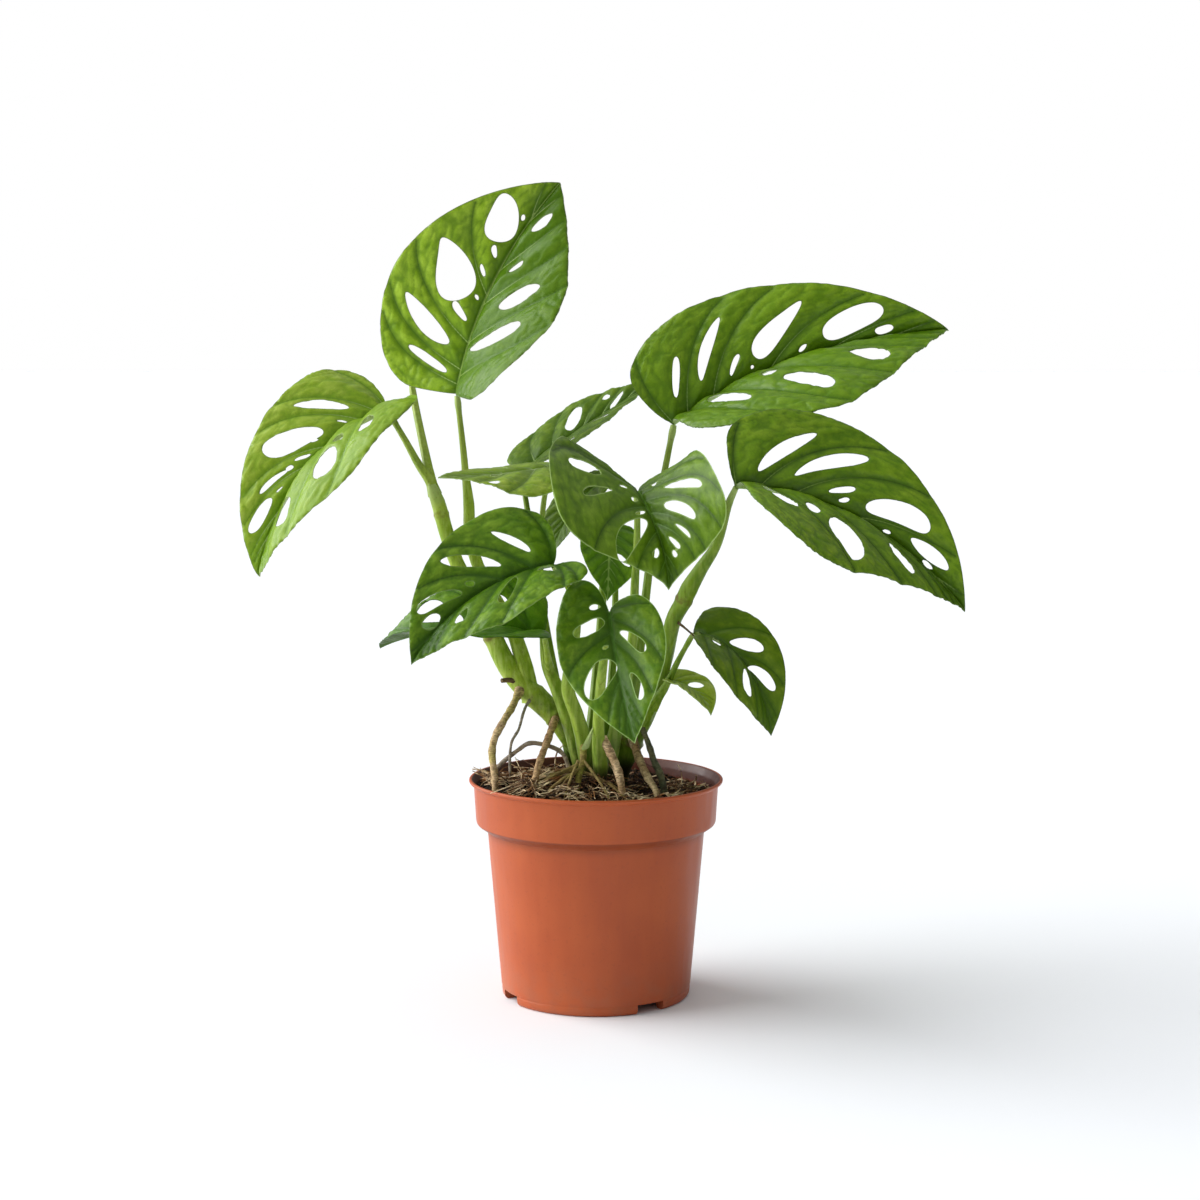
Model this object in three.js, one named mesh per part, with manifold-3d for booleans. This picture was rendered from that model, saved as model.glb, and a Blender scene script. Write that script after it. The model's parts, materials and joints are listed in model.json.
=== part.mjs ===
// A Swiss cheese plant, Monstera adansonii, growing in a terracotta coloured nursery pot.
// Millimetres, +Z up. The origin is the middle of the pot's underside; the plant's face is towards -Y.

import * as THREE from 'three';
import { mergeVertices } from 'three/addons/utils/BufferGeometryUtils.js';
import Module from 'manifold-3d';

const wasm = await Module();
wasm.setup();

// ---------------------------------------------------------------- driving dimensions

const RIM_RADIUS = 60; // a 12 cm nursery pot
const POT_HEIGHT = 104;
const FOOT_RADIUS = 44.5;
const WALL = 1.5;
const COLLAR_DROP = 21; // from the rim down to the collar's lower edge
const COLLAR_RADIUS = 56.5; // at that lower edge
const BODY_RADIUS = 51.8; // just below the collar
const FLOOR_TOP = 5.5;
const POT_SEGMENTS = 44;

const SOIL_LEVEL = 98;
const SOIL_MOUND = 7; // how much higher the mix stands round the stems
const GAP = 0.35; // clearance kept between pieces that touch

const BLADE = 0.8; // leaf thickness
const MESH_STEP = 14; // spacing of the points inside a blade
const SMALL_LEAF = 60; // blades shorter than this have a closer mesh and fewer points round them
const VEIN_ANGLE = 78; // degrees between the midrib and the side veins at the leaf's base
const VEIN_TURN = 75; // how much that angle has closed by the tip

const STALK_SIDES = 8;
const ROOT_SIDES = 6;
const RING_STEP = 9; // about how far apart a stalk's rings are

// ---------------------------------------------------------------- materials

function finish(color, roughness, metalness = 0) {
  return new THREE.MeshStandardMaterial({ color, roughness, metalness });
}

const plastic = finish('#b4603f', 0.5);
const soil = finish('#2c1d12', 0.95);
const greenStem = finish('#6f9434', 0.5);
const barkBrown = finish('#8a6b45', 0.8);
const leafGreen = finish('#3f7a1d', 0.4);
const leafDark = finish('#2c5a1c', 0.4);
const leafPale = finish('#6a9f2e', 0.4);

// ---------------------------------------------------------------- solids

function degrees(angle) {
  return THREE.MathUtils.degToRad(angle);
}

// A closed mesh as a solid that can be joined and cut.
function toSolid(geometry) {
  const bare = geometry.clone();
  bare.deleteAttribute('normal');
  bare.deleteAttribute('uv');
  const merged = mergeVertices(bare, 1e-4);
  return new wasm.Manifold(new wasm.Mesh({
    numProp: 3,
    vertProperties: new Float32Array(merged.attributes.position.array),
    triVerts: new Uint32Array(merged.index.array),
  }));
}

// The largest body of a solid: what a cut leaves loose is dropped.
function largest(solid) {
  const bodies = solid.decompose();
  bodies.sort((a, b) => b.volume() - a.volume());
  return bodies[0];
}

function toGeometry(solid) {
  const mesh = largest(solid).getMesh();
  const geometry = new THREE.BufferGeometry();
  geometry.setAttribute('position', new THREE.BufferAttribute(new Float32Array(mesh.vertProperties), 3));
  geometry.setIndex(new THREE.BufferAttribute(new Uint32Array(mesh.triVerts), 1));
  return geometry;
}

function joined(solids) {
  return solids.reduce((sum, solid) => sum.add(solid));
}

const plant = new THREE.Group();

function addPiece(name, geometry, material) {
  geometry.computeVertexNormals();
  const piece = new THREE.Mesh(geometry, material);
  piece.name = name;
  plant.add(piece);
}

// A profile of [radius, height] points turned about the upright axis.
function turned(profile, segments) {
  const points = profile.map(([radius, height]) => new THREE.Vector2(radius, height));
  const geometry = new THREE.LatheGeometry(points, segments);
  geometry.rotateX(Math.PI / 2);
  return geometry;
}

// ---------------------------------------------------------------- pot

// Thin moulded wall with a deep collar, a rolled lip and a recessed base that stands on
// a foot ring and a middle pad.
const COLLAR_EDGE = POT_HEIGHT - COLLAR_DROP;
const STEP_DROP = 4; // height of the sloped step under the collar
const BASE_RECESS = 3.5;
const PAD_RADIUS = 18;

const potProfile = [
  [0, 0],
  [PAD_RADIUS, 0],
  [PAD_RADIUS + 1.5, BASE_RECESS],
  [FOOT_RADIUS - 6, BASE_RECESS],
  [FOOT_RADIUS - 4.5, 0],
  [FOOT_RADIUS - 1.2, 0],
  [FOOT_RADIUS, 1.5],
  [FOOT_RADIUS + 0.2, 4],
  [BODY_RADIUS, COLLAR_EDGE - STEP_DROP],
  [COLLAR_RADIUS, COLLAR_EDGE],
  [COLLAR_RADIUS + 0.3, COLLAR_EDGE + 1.5],
  [RIM_RADIUS - 2.3, POT_HEIGHT - 3.2],
  [RIM_RADIUS - 0.6, POT_HEIGHT - 2.6],
  [RIM_RADIUS, POT_HEIGHT - 1.3],
  [RIM_RADIUS - 0.4, POT_HEIGHT - 0.2],
  [RIM_RADIUS - 1.1, POT_HEIGHT],
  [RIM_RADIUS - 2, POT_HEIGHT - 0.6],
  [RIM_RADIUS - 3.6, POT_HEIGHT - 3.4],
  [COLLAR_RADIUS - WALL, COLLAR_EDGE + 1],
  [BODY_RADIUS - WALL, COLLAR_EDGE - STEP_DROP + 1],
  [FOOT_RADIUS - WALL, FLOOR_TOP],
  [0, FLOOR_TOP],
];

// Drain notches in the foot ring, and drain holes in the recessed base between them.
const NOTCH_HEIGHT = 4.5;
const NOTCH_WIDTH = 14.5;
const NOTCH_REACH = 14; // radial length of the cut, from 7 inside the foot's edge
const DRAIN_RADIUS = 3;
const DRAIN_CIRCLE = 29;
const DRAIN_OFFSET = 45; // degrees from each notch to its drain hole
const NOTCH_BEARINGS = [-55, 205, 55, 130]; // degrees round the pot, 0 towards +X

function notch(bearing) {
  const cutter = new THREE.BoxGeometry(NOTCH_REACH, NOTCH_WIDTH, 2 * NOTCH_HEIGHT);
  cutter.translate(FOOT_RADIUS, 0, 0);
  cutter.rotateZ(degrees(bearing));
  return toSolid(cutter);
}

function drain(bearing) {
  const cutter = new THREE.CylinderGeometry(DRAIN_RADIUS, DRAIN_RADIUS, 3 * FLOOR_TOP, 12);
  cutter.rotateX(Math.PI / 2);
  cutter.translate(DRAIN_CIRCLE, 0, 0);
  cutter.rotateZ(degrees(bearing));
  return toSolid(cutter);
}

let pot = toSolid(turned(potProfile, POT_SEGMENTS));
for (const bearing of NOTCH_BEARINGS) {
  pot = pot.subtract(notch(bearing)).subtract(drain(bearing + DRAIN_OFFSET));
}
addPiece('pot', toGeometry(pot), plastic);

// ---------------------------------------------------------------- leaf outline

// A leaf lies flat in (u, v): u runs along the midrib from the stalk's joint at 0 to the
// tip at `length`, v across it. Values given in pairs are for the left half, which has v
// above 0 seen from the upper face with the tip ahead, and the right half.
//   joint      where the blade meets its stalk
//   heading    compass direction of the midrib at the joint, 0 towards +X
//   climb      how far the midrib rises there; roll: turn about the midrib
//   halfWidth  widest reach of each half; widest: where along the length that is
//   lobe       how far each half runs back behind the joint; point: bluntness of the tip
//   arch       how far the midrib bends down by the tip; sweep: how far it bends left
//   twist      turn about the midrib by the tip
//   fold       how far each half stands up from the midrib; curl: how much more at its edge
//   lean       how far each half's holes turn from the direction of the veins
//   holes      [place along the length, reach across the half, hole length, hole width]

const LEAVES = [
  {
    name: 'leaf_top_left', joint: [-66, 25, 284], heading: 5, climb: 79, roll: 36,
    length: 112, halfWidth: [49, 51], widest: [0.30, 0.42], lobe: [0.01, 0.01], point: 0.02,
    arch: 22, sweep: -22, twist: 43, fold: [20, 24], curl: [0, -12], lean: [4, -4],
    leftHoles: [
      [0.11, 0.43, 24, 4], [0.25, 0.50, 32, 8], [0.33, 0.19, 11, 3.5], [0.41, 0.09, 3, 1.5],
      [0.47, 0.46, 29, 17], [0.52, 0.17, 6, 2], [0.61, 0.17, 6, 2.5], [0.74, 0.43, 22, 15],
      [0.79, 0.16, 3, 2],
    ],
    rightHoles: [[0.28, 0.44, 35, 8], [0.49, 0.46, 24, 8], [0.60, 0.23, 9, 3], [0.82, 0.30, 13, 4.5]],
  },
  {
    name: 'leaf_far_left', joint: [-100, 30, 276], heading: 218, climb: -15, roll: -6,
    length: 108, halfWidth: [45, 39], widest: [0.42, 0.14], lobe: [0.03, 0.04], point: 0.02,
    arch: 67, sweep: 0, twist: -10, fold: [33, 35], curl: [-43, -14], lean: [-16, -13],
    leftHoles: [[0.24, 0.62, 13, 7], [0.34, 0.41, 5, 5], [0.47, 0.54, 18, 13], [0.71, 0.39, 14, 10]],
    rightHoles: [
      [0.21, 0.13, 5, 1.5], [0.21, 0.50, 25, 5.5], [0.36, 0.18, 4, 1.5], [0.41, 0.43, 28, 11],
      [0.45, 0.15, 8, 2], [0.60, 0.38, 16, 2.5], [0.62, 0.19, 4, 1], [0.75, 0.43, 18, 6],
    ],
  },
  {
    name: 'leaf_upper_right', joint: [37, 28, 270], heading: 14, climb: 34, roll: 45,
    length: 144, halfWidth: [45, 64], widest: [0.22, 0.43], lobe: [0.04, 0.01], point: 0.02,
    arch: 15, sweep: -30, twist: 16, fold: [30, 52], curl: [-28, -35], lean: [-14, 0],
    leftHoles: [
      [0.09, 0.42, 20, 3.5], [0.22, 0.49, 32, 5], [0.27, 0.20, 11, 2.5], [0.32, 0.10, 2, 1.5],
      [0.44, 0.43, 34, 9], [0.50, 0.11, 5, 2], [0.68, 0.40, 31, 12], [0.78, 0.18, 9, 4],
    ],
    rightHoles: [[0.17, 0.41, 30, 8], [0.34, 0.27, 7, 7], [0.43, 0.60, 27, 11], [0.68, 0.52, 20, 11]],
  },
  {
    name: 'leaf_right', joint: [63, -45, 245], heading: 14, climb: -4, roll: 40,
    length: 123, halfWidth: [41, 57], widest: [0.24, 0.29], lobe: [0.03, 0.01], point: 0.05,
    arch: 19, sweep: -55, twist: 21, fold: [30, 40], curl: [-16, -35], lean: [-19, -12],
    leftHoles: [
      [0.16, 0.49, 32, 5.5], [0.31, 0.47, 33, 6], [0.38, 0.23, 12, 3], [0.40, 0.13, 5, 2],
      [0.59, 0.39, 29, 10], [0.59, 0.06, 4, 1.5], [0.76, 0.32, 21, 6], [0.78, 0.08, 6, 2],
    ],
    rightHoles: [[0.13, 0.36, 24, 12], [0.27, 0.36, 9, 5], [0.44, 0.61, 27, 15], [0.69, 0.44, 19, 7]],
  },
  {
    name: 'leaf_high_middle', joint: [-36, 44, 246], heading: 9, climb: 35, roll: 15,
    length: 78, halfWidth: [28, 29], widest: [0.36, 0.35], lobe: [0.03, 0.07], point: 0.05,
    arch: 2, sweep: -4, twist: 6, fold: [8, 18], curl: [-11, -6], lean: [10, 0],
    leftHoles: [[0.46, 0.41, 18, 8], [0.70, 0.61, 4, 4], [0.74, 0.24, 12, 3.5]],
    rightHoles: [[0.30, 0.45, 17, 5], [0.58, 0.42, 15, 5]],
  },
  {
    name: 'leaf_centre', joint: [19, -22, 241], heading: -86, climb: -3, roll: -3,
    length: 63, halfWidth: [37, 52], widest: [0.60, 0.46], lobe: [0.11, 0.15], point: 0.21,
    arch: 88, sweep: 52, twist: 51, fold: [31, 33], curl: [8, -2], lean: [5, 20],
    leftHoles: [
      [0.14, 0.26, 3, 3], [0.37, 0.57, 21, 4], [0.51, 0.40, 17, 5], [0.64, 0.34, 9, 1.5],
      [0.69, 0.20, 7, 2], [0.76, 0.22, 3, 2.5],
    ],
    rightHoles: [
      [0.16, 0.63, 17, 6], [0.20, 0.22, 4, 2], [0.30, 0.13, 4, 2], [0.32, 0.53, 18, 3],
      [0.42, 0.12, 7, 2], [0.60, 0.36, 27, 9], [0.73, 0.18, 5, 3],
    ],
  },
  {
    name: 'leaf_left', joint: [-19, -50, 210], heading: 195, climb: -9, roll: -33,
    length: 83, halfWidth: [30, 34], widest: [0.39, 0.18], lobe: [0.14, 0.05], point: 0.08,
    arch: 24, sweep: 43, twist: -7, fold: [23, 23], curl: [-17, -8], lean: [-16, -11],
    leftHoles: [[0.055, 0.25, 7, 8.5], [0.33, 0.40, 20, 5.5], [0.63, 0.32, 10, 4.5]],
    rightHoles: [
      [0.16, 0.47, 19, 3.5], [0.38, 0.47, 25, 5.5], [0.46, 0.20, 4, 3], [0.64, 0.41, 21, 6],
      [0.75, 0.26, 9.5, 5.5],
    ],
  },
  {
    name: 'leaf_front', joint: [6, -55, 189], heading: -83, climb: -45, roll: 17,
    length: 68, halfWidth: [24, 26], widest: [0.31, 0.28], lobe: [0.07, 0.28], point: 0.05,
    arch: 14, sweep: 6, twist: 3, fold: [11, 10], curl: [-12, -13], lean: [-23, -2],
    leftHoles: [[0.29, 0.40, 17, 5], [0.63, 0.42, 14, 4]],
    rightHoles: [[-0.04, 0.27, 5, 3.5], [0.12, 0.40, 15, 7], [0.29, 0.15, 3, 1.5], [0.51, 0.41, 21, 11]],
  },
  {
    name: 'leaf_low_right', joint: [45, -20, 176], heading: -28, climb: -7, roll: 17,
    length: 67, halfWidth: [21, 26], widest: [0.25, 0.38], lobe: [0.01, -0.12], point: 0.09,
    arch: 70, sweep: -46, twist: 1, fold: [20, 23], curl: [-3, -4], lean: [-13, -12],
    leftHoles: [[0.36, 0.34, 15, 6], [0.60, 0.26, 16, 5]],
    rightHoles: [[0.24, 0.28, 9, 4], [0.61, 0.37, 14, 5]],
  },
  {
    name: 'leaf_young', joint: [34, -15, 152], heading: -16, climb: -5, roll: 12,
    length: 29, halfWidth: [11, 10], widest: [0.34, 0.33], lobe: [0.06, 0.07], point: 0.08,
    arch: 40, sweep: -52, twist: -5, fold: [19, 19], curl: [-5, -5], lean: [-7, 0],
    leftHoles: [[0.40, 0.30, 7, 3.5]],
  },
  {
    name: 'leaf_hanging', joint: [7, 28, 220], heading: -94, climb: -44, roll: -20,
    length: 43, halfWidth: [16, 15], widest: [0.34, 0.33], lobe: [0.07, 0.07], point: 0.13,
    arch: 8, sweep: 4, twist: 0, fold: [8, 8], curl: [-9, -8], lean: [0, 0],
    leftHoles: [[0.45, 0.45, 9, 3]],
  },
  {
    name: 'leaf_low_left', joint: [-24, -15, 174], heading: 192, climb: 11, roll: -31,
    length: 84, halfWidth: [30, 30], widest: [0.30, 0.28], lobe: [0.00, 0.01], point: 0.02,
    arch: 53, sweep: -30, twist: -2, fold: [35, 27], curl: [-15, -12], lean: [0, 0],
    leftHoles: [[0.46, 0.40, 15, 4]],
    rightHoles: [[0.25, 0.46, 9, 5], [0.49, 0.19, 7, 4.5], [0.64, 0.47, 18, 12]],
  },
  {
    name: 'leaf_level', joint: [-22, 5, 250], heading: 208, climb: -7, roll: -6,
    length: 65, halfWidth: [26, 22], widest: [0.39, 0.33], lobe: [0.05, 0.07], point: 0.16,
    arch: -13, sweep: 23, twist: -2, fold: [1, 4], curl: [-36, -22], lean: [-18, 0],
    leftHoles: [[0.48, 0.12, 11, 2], [0.62, 0.62, 7, 4]],
    rightHoles: [[0.35, 0.45, 12, 4]],
  },
  {
    name: 'leaf_behind_centre', joint: [3, 42, 241], heading: 193, climb: -35, roll: -15,
    length: 44, halfWidth: [16, 17], widest: [0.34, 0.40], lobe: [0.07, 0.07], point: 0.06,
    arch: 21, sweep: 39, twist: -4, fold: [10, 12], curl: [-9, -9], lean: [0, 0],
    leftHoles: [[0.45, 0.45, 9, 3]],
  },
];

// Points of a cubic Bezier curve, without its first one.
function cubic(start, pullStart, pullEnd, end, count) {
  const curve = new THREE.CubicBezierCurve(
    new THREE.Vector2(...start),
    new THREE.Vector2(...pullStart),
    new THREE.Vector2(...pullEnd),
    new THREE.Vector2(...end),
  );
  return curve.getPoints(count).slice(1);
}

// One half of the outline, all with v above 0: from the joint round the lobe to its flank,
// over the crown, which is the widest place, and in to the tip.
function halfOutline(leaf, half) {
  const length = leaf.length;
  const width = leaf.halfWidth[half];
  const widest = leaf.widest[half];
  const back = -leaf.lobe[half] * length;
  const lobeFlank = [back, 0.48 * width];
  const crown = [widest * length, width];
  const detail = length > SMALL_LEAF ? 1 : 0.7;
  return [
    new THREE.Vector2(0, 0),
    ...cubic([0, 0], [0.55 * back, 0.06 * width], [back, 0.22 * width], lobeFlank, 3),
    ...cubic(
      lobeFlank,
      [back, 0.8 * width],
      [(widest * length + back) / 2, width],
      crown,
      Math.round(5 * detail),
    ),
    ...cubic(
      crown,
      [(widest + 0.42 * (1 - widest)) * length, width],
      [(1 - leaf.point) * length, (0.1 + 0.35 * leaf.point) * width],
      [length, 0],
      Math.round(9 * detail),
    ),
  ];
}

// Distance from the midrib to the margin at u, on the outer side of the lobe.
function marginAt(outline, u) {
  const back = outline.reduce((best, point, i) => (point.x < outline[best].x ? i : best), 0);
  for (let i = back; i < outline.length - 1; i += 1) {
    const [a, b] = [outline[i], outline[i + 1]];
    if (u >= a.x && u <= b.x) {
      return THREE.MathUtils.mapLinear(u, a.x, b.x, a.y, b.y);
    }
  }
  return outline[back].y;
}

// A hole is an oval that lies along the side vein through its middle and bends with it.
const EGG = 0.12; // how much fuller the hole's outer end is

function holeOutline(leaf, half, outline, hole) {
  const [place, reach, holeLength, holeWidth] = hole;
  const u = place * leaf.length;
  const angle = degrees(VEIN_ANGLE - VEIN_TURN * place + leaf.lean[half]);
  const along = new THREE.Vector2(Math.cos(angle), Math.sin(angle));
  const across = new THREE.Vector2(-along.y, along.x);
  const bend = (-degrees(VEIN_TURN) / leaf.length) * Math.cos(angle);
  const middle = new THREE.Vector2(u, reach * marginAt(outline, u));
  const count = holeLength > 12 ? 10 : holeLength > 6 ? 8 : 6;
  const points = [];
  for (let i = 0; i < count; i += 1) {
    const turn = (2 * Math.PI * i) / count;
    const s = (holeLength / 2) * Math.cos(turn);
    const w = (holeWidth / 2) * Math.sin(turn) * (1 + EGG * Math.cos(turn));
    points.push(middle.clone().addScaledVector(along, s).addScaledVector(across, w + 0.5 * bend * s * s));
  }
  return points;
}

// ---------------------------------------------------------------- flat leaf mesh

function cross(a, b, c) {
  return (b.x - a.x) * (c.y - a.y) - (b.y - a.y) * (c.x - a.x);
}

function distanceToEdge(point, a, b) {
  const along = b.clone().sub(a);
  const share = THREE.MathUtils.clamp(point.clone().sub(a).dot(along) / along.lengthSq(), 0, 1);
  return point.distanceTo(a.clone().addScaledVector(along, share));
}

function insideCircle(a, b, c, d) {
  const [ax, ay] = [a.x - d.x, a.y - d.y];
  const [bx, by] = [b.x - d.x, b.y - d.y];
  const [cx, cy] = [c.x - d.x, c.y - d.y];
  const [a2, b2, c2] = [ax * ax + ay * ay, bx * bx + by * by, cx * cx + cy * cy];
  return ax * (by * c2 - b2 * cy) - ay * (bx * c2 - b2 * cx) + a2 * (bx * cy - by * cx) > 1e-9;
}

// Turns the diagonal of every pair of triangles that is better the other way round.
function evenOut(points, triangles) {
  let turnedAny = true;
  while (turnedAny) {
    turnedAny = false;
    const owners = new Map();
    const touched = new Set();
    triangles.forEach((triangle, index) => {
      for (let i = 0; i < 3; i += 1) {
        const ends = [triangle[i], triangle[(i + 1) % 3]];
        const key = `${Math.min(...ends)}_${Math.max(...ends)}`;
        owners.set(key, [...(owners.get(key) ?? []), [index, ...ends, triangle[(i + 2) % 3]]]);
      }
    });
    for (const pair of owners.values()) {
      if (pair.length !== 2 || touched.has(pair[0][0]) || touched.has(pair[1][0])) continue;
      const [first, a, b, c] = pair[0];
      const [second, , , d] = pair[1];
      const [A, B, C, D] = [points[a], points[b], points[c], points[d]];
      const convex = cross(C, D, B) > 1e-9 && cross(D, C, A) > 1e-9;
      if (!convex || !insideCircle(A, B, C, D)) continue;
      triangles[first] = [c, d, b];
      triangles[second] = [d, c, a];
      touched.add(first).add(second);
      turnedAny = true;
    }
  }
}

// Triangles of one half of the blade: its outline, the midrib, its holes and points between.
function meshHalf(leaf, half) {
  const outline = halfOutline(leaf, half);
  const ribCount = Math.max(4, Math.round(leaf.length / MESH_STEP));
  const rib = [];
  for (let i = ribCount - 1; i > 0; i -= 1) {
    rib.push(new THREE.Vector2((leaf.length * i) / ribCount, 0));
  }
  const contour = [...outline, ...rib];
  const holeList = (half === 0 ? leaf.leftHoles : leaf.rightHoles) ?? [];
  const holes = holeList.map((hole) => holeOutline(leaf, half, outline, hole));
  const points = [...contour, ...holes.flat()];
  const triangles = THREE.ShapeUtils.triangulateShape([...contour], holes.map((hole) => [...hole]))
    .map(([a, b, c]) => (cross(points[a], points[b], points[c]) > 0 ? [a, b, c] : [a, c, b]));

  const loops = [contour, ...holes];
  const edges = loops.flatMap((loop) => loop.map((point, i) => [point, loop[(i + 1) % loop.length]]));
  const step = leaf.length > SMALL_LEAF ? MESH_STEP : 0.7 * MESH_STEP;
  for (let u = 0; u < leaf.length; u += step) {
    for (let row = 1; row * step < leaf.halfWidth[half]; row += 1) {
      const point = new THREE.Vector2(u + (row % 2) * 0.5 * step, row * step);
      if (edges.some(([a, b]) => distanceToEdge(point, a, b) < 0.33 * step)) continue;
      const home = triangles.findIndex(([a, b, c]) => (
        cross(points[a], points[b], point) > 0
        && cross(points[b], points[c], point) > 0
        && cross(points[c], points[a], point) > 0
      ));
      if (home < 0) continue;
      const [a, b, c] = triangles[home];
      const fresh = points.push(point) - 1;
      triangles.splice(home, 1, [a, b, fresh], [b, c, fresh], [c, a, fresh]);
    }
  }
  evenOut(points, triangles);
  return { points, triangles };
}

// ---------------------------------------------------------------- bent blade

const SPINE_STEPS = 32;

// The bent midrib: its points, and at each the directions along, across and up.
function spineOf(leaf) {
  const step = leaf.length / SPINE_STEPS;
  const spine = [];
  const position = new THREE.Vector3();
  for (let i = 0; i <= SPINE_STEPS; i += 1) {
    const share = i / SPINE_STEPS;
    const down = degrees(leaf.arch) * share;
    const side = degrees(leaf.sweep) * share;
    const along = new THREE.Vector3(
      Math.cos(down) * Math.cos(side),
      Math.cos(down) * Math.sin(side),
      -Math.sin(down),
    );
    const across = new THREE.Vector3(-Math.sin(side), Math.cos(side), 0);
    across.applyAxisAngle(along, degrees(leaf.twist) * share);
    const up = new THREE.Vector3().crossVectors(along, across);
    if (i > 0) {
      const middle = spine[i - 1].along.clone().add(along).multiplyScalar(0.5);
      position.addScaledVector(middle, step);
    }
    spine.push({ position: position.clone(), along, across, up });
  }
  return spine;
}

// The direction of the whole blade: turned about its midrib, tilted, then given its heading.
function stanceOf(leaf) {
  const order = new THREE.Euler(degrees(leaf.roll), degrees(-leaf.climb), degrees(leaf.heading), 'ZYX');
  return new THREE.Matrix4().makeRotationFromEuler(order);
}

// Where a point (u, v) of the flat leaf lies once the blade is bent and placed.
function placer(leaf) {
  const spine = spineOf(leaf);
  const stance = stanceOf(leaf);
  const joint = new THREE.Vector3(...leaf.joint);
  return (u, v) => {
    const held = THREE.MathUtils.clamp(u, 0, leaf.length);
    const at = Math.min((held / leaf.length) * SPINE_STEPS, SPINE_STEPS - 1e-6);
    const [before, after, share] = [spine[Math.floor(at)], spine[Math.floor(at) + 1], at % 1];
    const mix = (key) => before[key].clone().lerp(after[key], share);
    const half = v >= 0 ? 0 : 1;
    const curve = degrees(leaf.curl[half]) / leaf.halfWidth[half] || 1e-6;
    const start = degrees(leaf.fold[half]);
    const end = start + curve * Math.abs(v);
    const out = ((Math.sin(end) - Math.sin(start)) / curve) * Math.sign(v);
    const rise = (Math.cos(start) - Math.cos(end)) / curve;
    return mix('position')
      .addScaledVector(mix('along'), u - held)
      .addScaledVector(mix('across'), out)
      .addScaledVector(mix('up'), rise)
      .applyMatrix4(stance)
      .add(joint);
  };
}

// The blade as a closed solid. Both faces have the same triangles, so they never cross.
function bladeGeometry(leaf, thickness) {
  const place = placer(leaf);
  const numbers = new Map();
  const flat = [];
  const faces = [];
  for (const half of [0, 1]) {
    const { points, triangles } = meshHalf(leaf, half);
    const side = half === 0 ? 1 : -1;
    const shared = points.map((point) => {
      const key = `${point.x.toFixed(4)}_${(side * point.y).toFixed(4)}`.replace('_-0.0000', '_0.0000');
      if (!numbers.has(key)) numbers.set(key, flat.push([point.x, side * point.y]) - 1);
      return numbers.get(key);
    });
    for (const [a, b, c] of triangles) {
      faces.push(half === 0 ? [shared[a], shared[b], shared[c]] : [shared[a], shared[c], shared[b]]);
    }
  }

  const nudge = 0.4;
  const positions = [];
  for (const lift of [thickness / 2, -thickness / 2]) {
    for (const [u, v] of flat) {
      const alongU = place(u + nudge, v).sub(place(u - nudge, v));
      const alongV = place(u, v + nudge).sub(place(u, v - nudge));
      const normal = alongU.cross(alongV).normalize();
      positions.push(...place(u, v).addScaledVector(normal, lift).toArray());
    }
  }

  const below = flat.length;
  const index = [];
  const directed = new Set(faces.flatMap(([a, b, c]) => [`${a}_${b}`, `${b}_${c}`, `${c}_${a}`]));
  for (const [a, b, c] of faces) {
    index.push(a, b, c, a + below, c + below, b + below);
  }
  for (const edge of directed) {
    const [a, b] = edge.split('_').map(Number);
    if (directed.has(`${b}_${a}`)) continue;
    index.push(b, a, a + below, b, a + below, b + below);
  }
  const geometry = new THREE.BufferGeometry();
  geometry.setAttribute('position', new THREE.Float32BufferAttribute(positions, 3));
  geometry.setIndex(index);
  return geometry;
}

const PALE = ['leaf_far_left', 'leaf_young', 'leaf_level'];
const DARK = ['leaf_left', 'leaf_low_left', 'leaf_low_right', 'leaf_hanging', 'leaf_behind_centre'];

for (const leaf of LEAVES) {
  const colour = PALE.includes(leaf.name) ? leafPale : DARK.includes(leaf.name) ? leafDark : leafGreen;
  addPiece(leaf.name, bladeGeometry(leaf, BLADE), colour);
}

// ---------------------------------------------------------------- stalks

// A stalk or root is a list of [x, y, z, radius] stations. It is a tube of round rings
// along the smooth curve through them, closed at both ends.
function tube(stations, sides, grow = 0) {
  const path = stations.map(([x, y, z]) => new THREE.Vector3(x, y, z));
  const curve = new THREE.CatmullRomCurve3(path);
  const spans = stations.length - 1;
  const shares = [0];
  for (let span = 0; span < spans; span += 1) {
    const cuts = Math.max(1, Math.round(path[span].distanceTo(path[span + 1]) / RING_STEP));
    for (let k = 1; k <= cuts; k += 1) shares.push((span + k / cuts) / spans);
  }
  const positions = [];
  const normal = new THREE.Vector3(1, 0.2, 0.1);
  for (const share of shares) {
    const centre = curve.getPoint(share);
    const along = curve.getTangent(share);
    normal.addScaledVector(along, -normal.dot(along)).normalize();
    const sideways = new THREE.Vector3().crossVectors(along, normal);
    const span = Math.min(Math.floor(share * spans + 1e-9), spans - 1);
    const [start, end] = [stations[span][3], stations[span + 1][3]];
    const radius = THREE.MathUtils.lerp(start, end, share * spans - span) + grow;
    for (let k = 0; k < sides; k += 1) {
      const turn = (2 * Math.PI * k) / sides;
      const point = centre.clone()
        .addScaledVector(normal, radius * Math.cos(turn))
        .addScaledVector(sideways, radius * Math.sin(turn));
      positions.push(...point.toArray());
    }
  }
  const last = shares.length - 1;
  const [foot, top] = [shares.length * sides, shares.length * sides + 1];
  positions.push(...path[0].toArray(), ...path[spans].toArray());
  const index = [];
  for (let k = 0; k < sides; k += 1) {
    const next = (k + 1) % sides;
    for (let i = 0; i < last; i += 1) {
      const [a, b] = [i * sides + k, i * sides + next];
      index.push(a, b, b + sides, a, b + sides, a + sides);
    }
    index.push(foot, next, k);
    index.push(top, last * sides + k, last * sides + next);
  }
  const geometry = new THREE.BufferGeometry();
  geometry.setAttribute('position', new THREE.Float32BufferAttribute(positions, 3));
  geometry.setIndex(index);
  return geometry;
}

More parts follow.
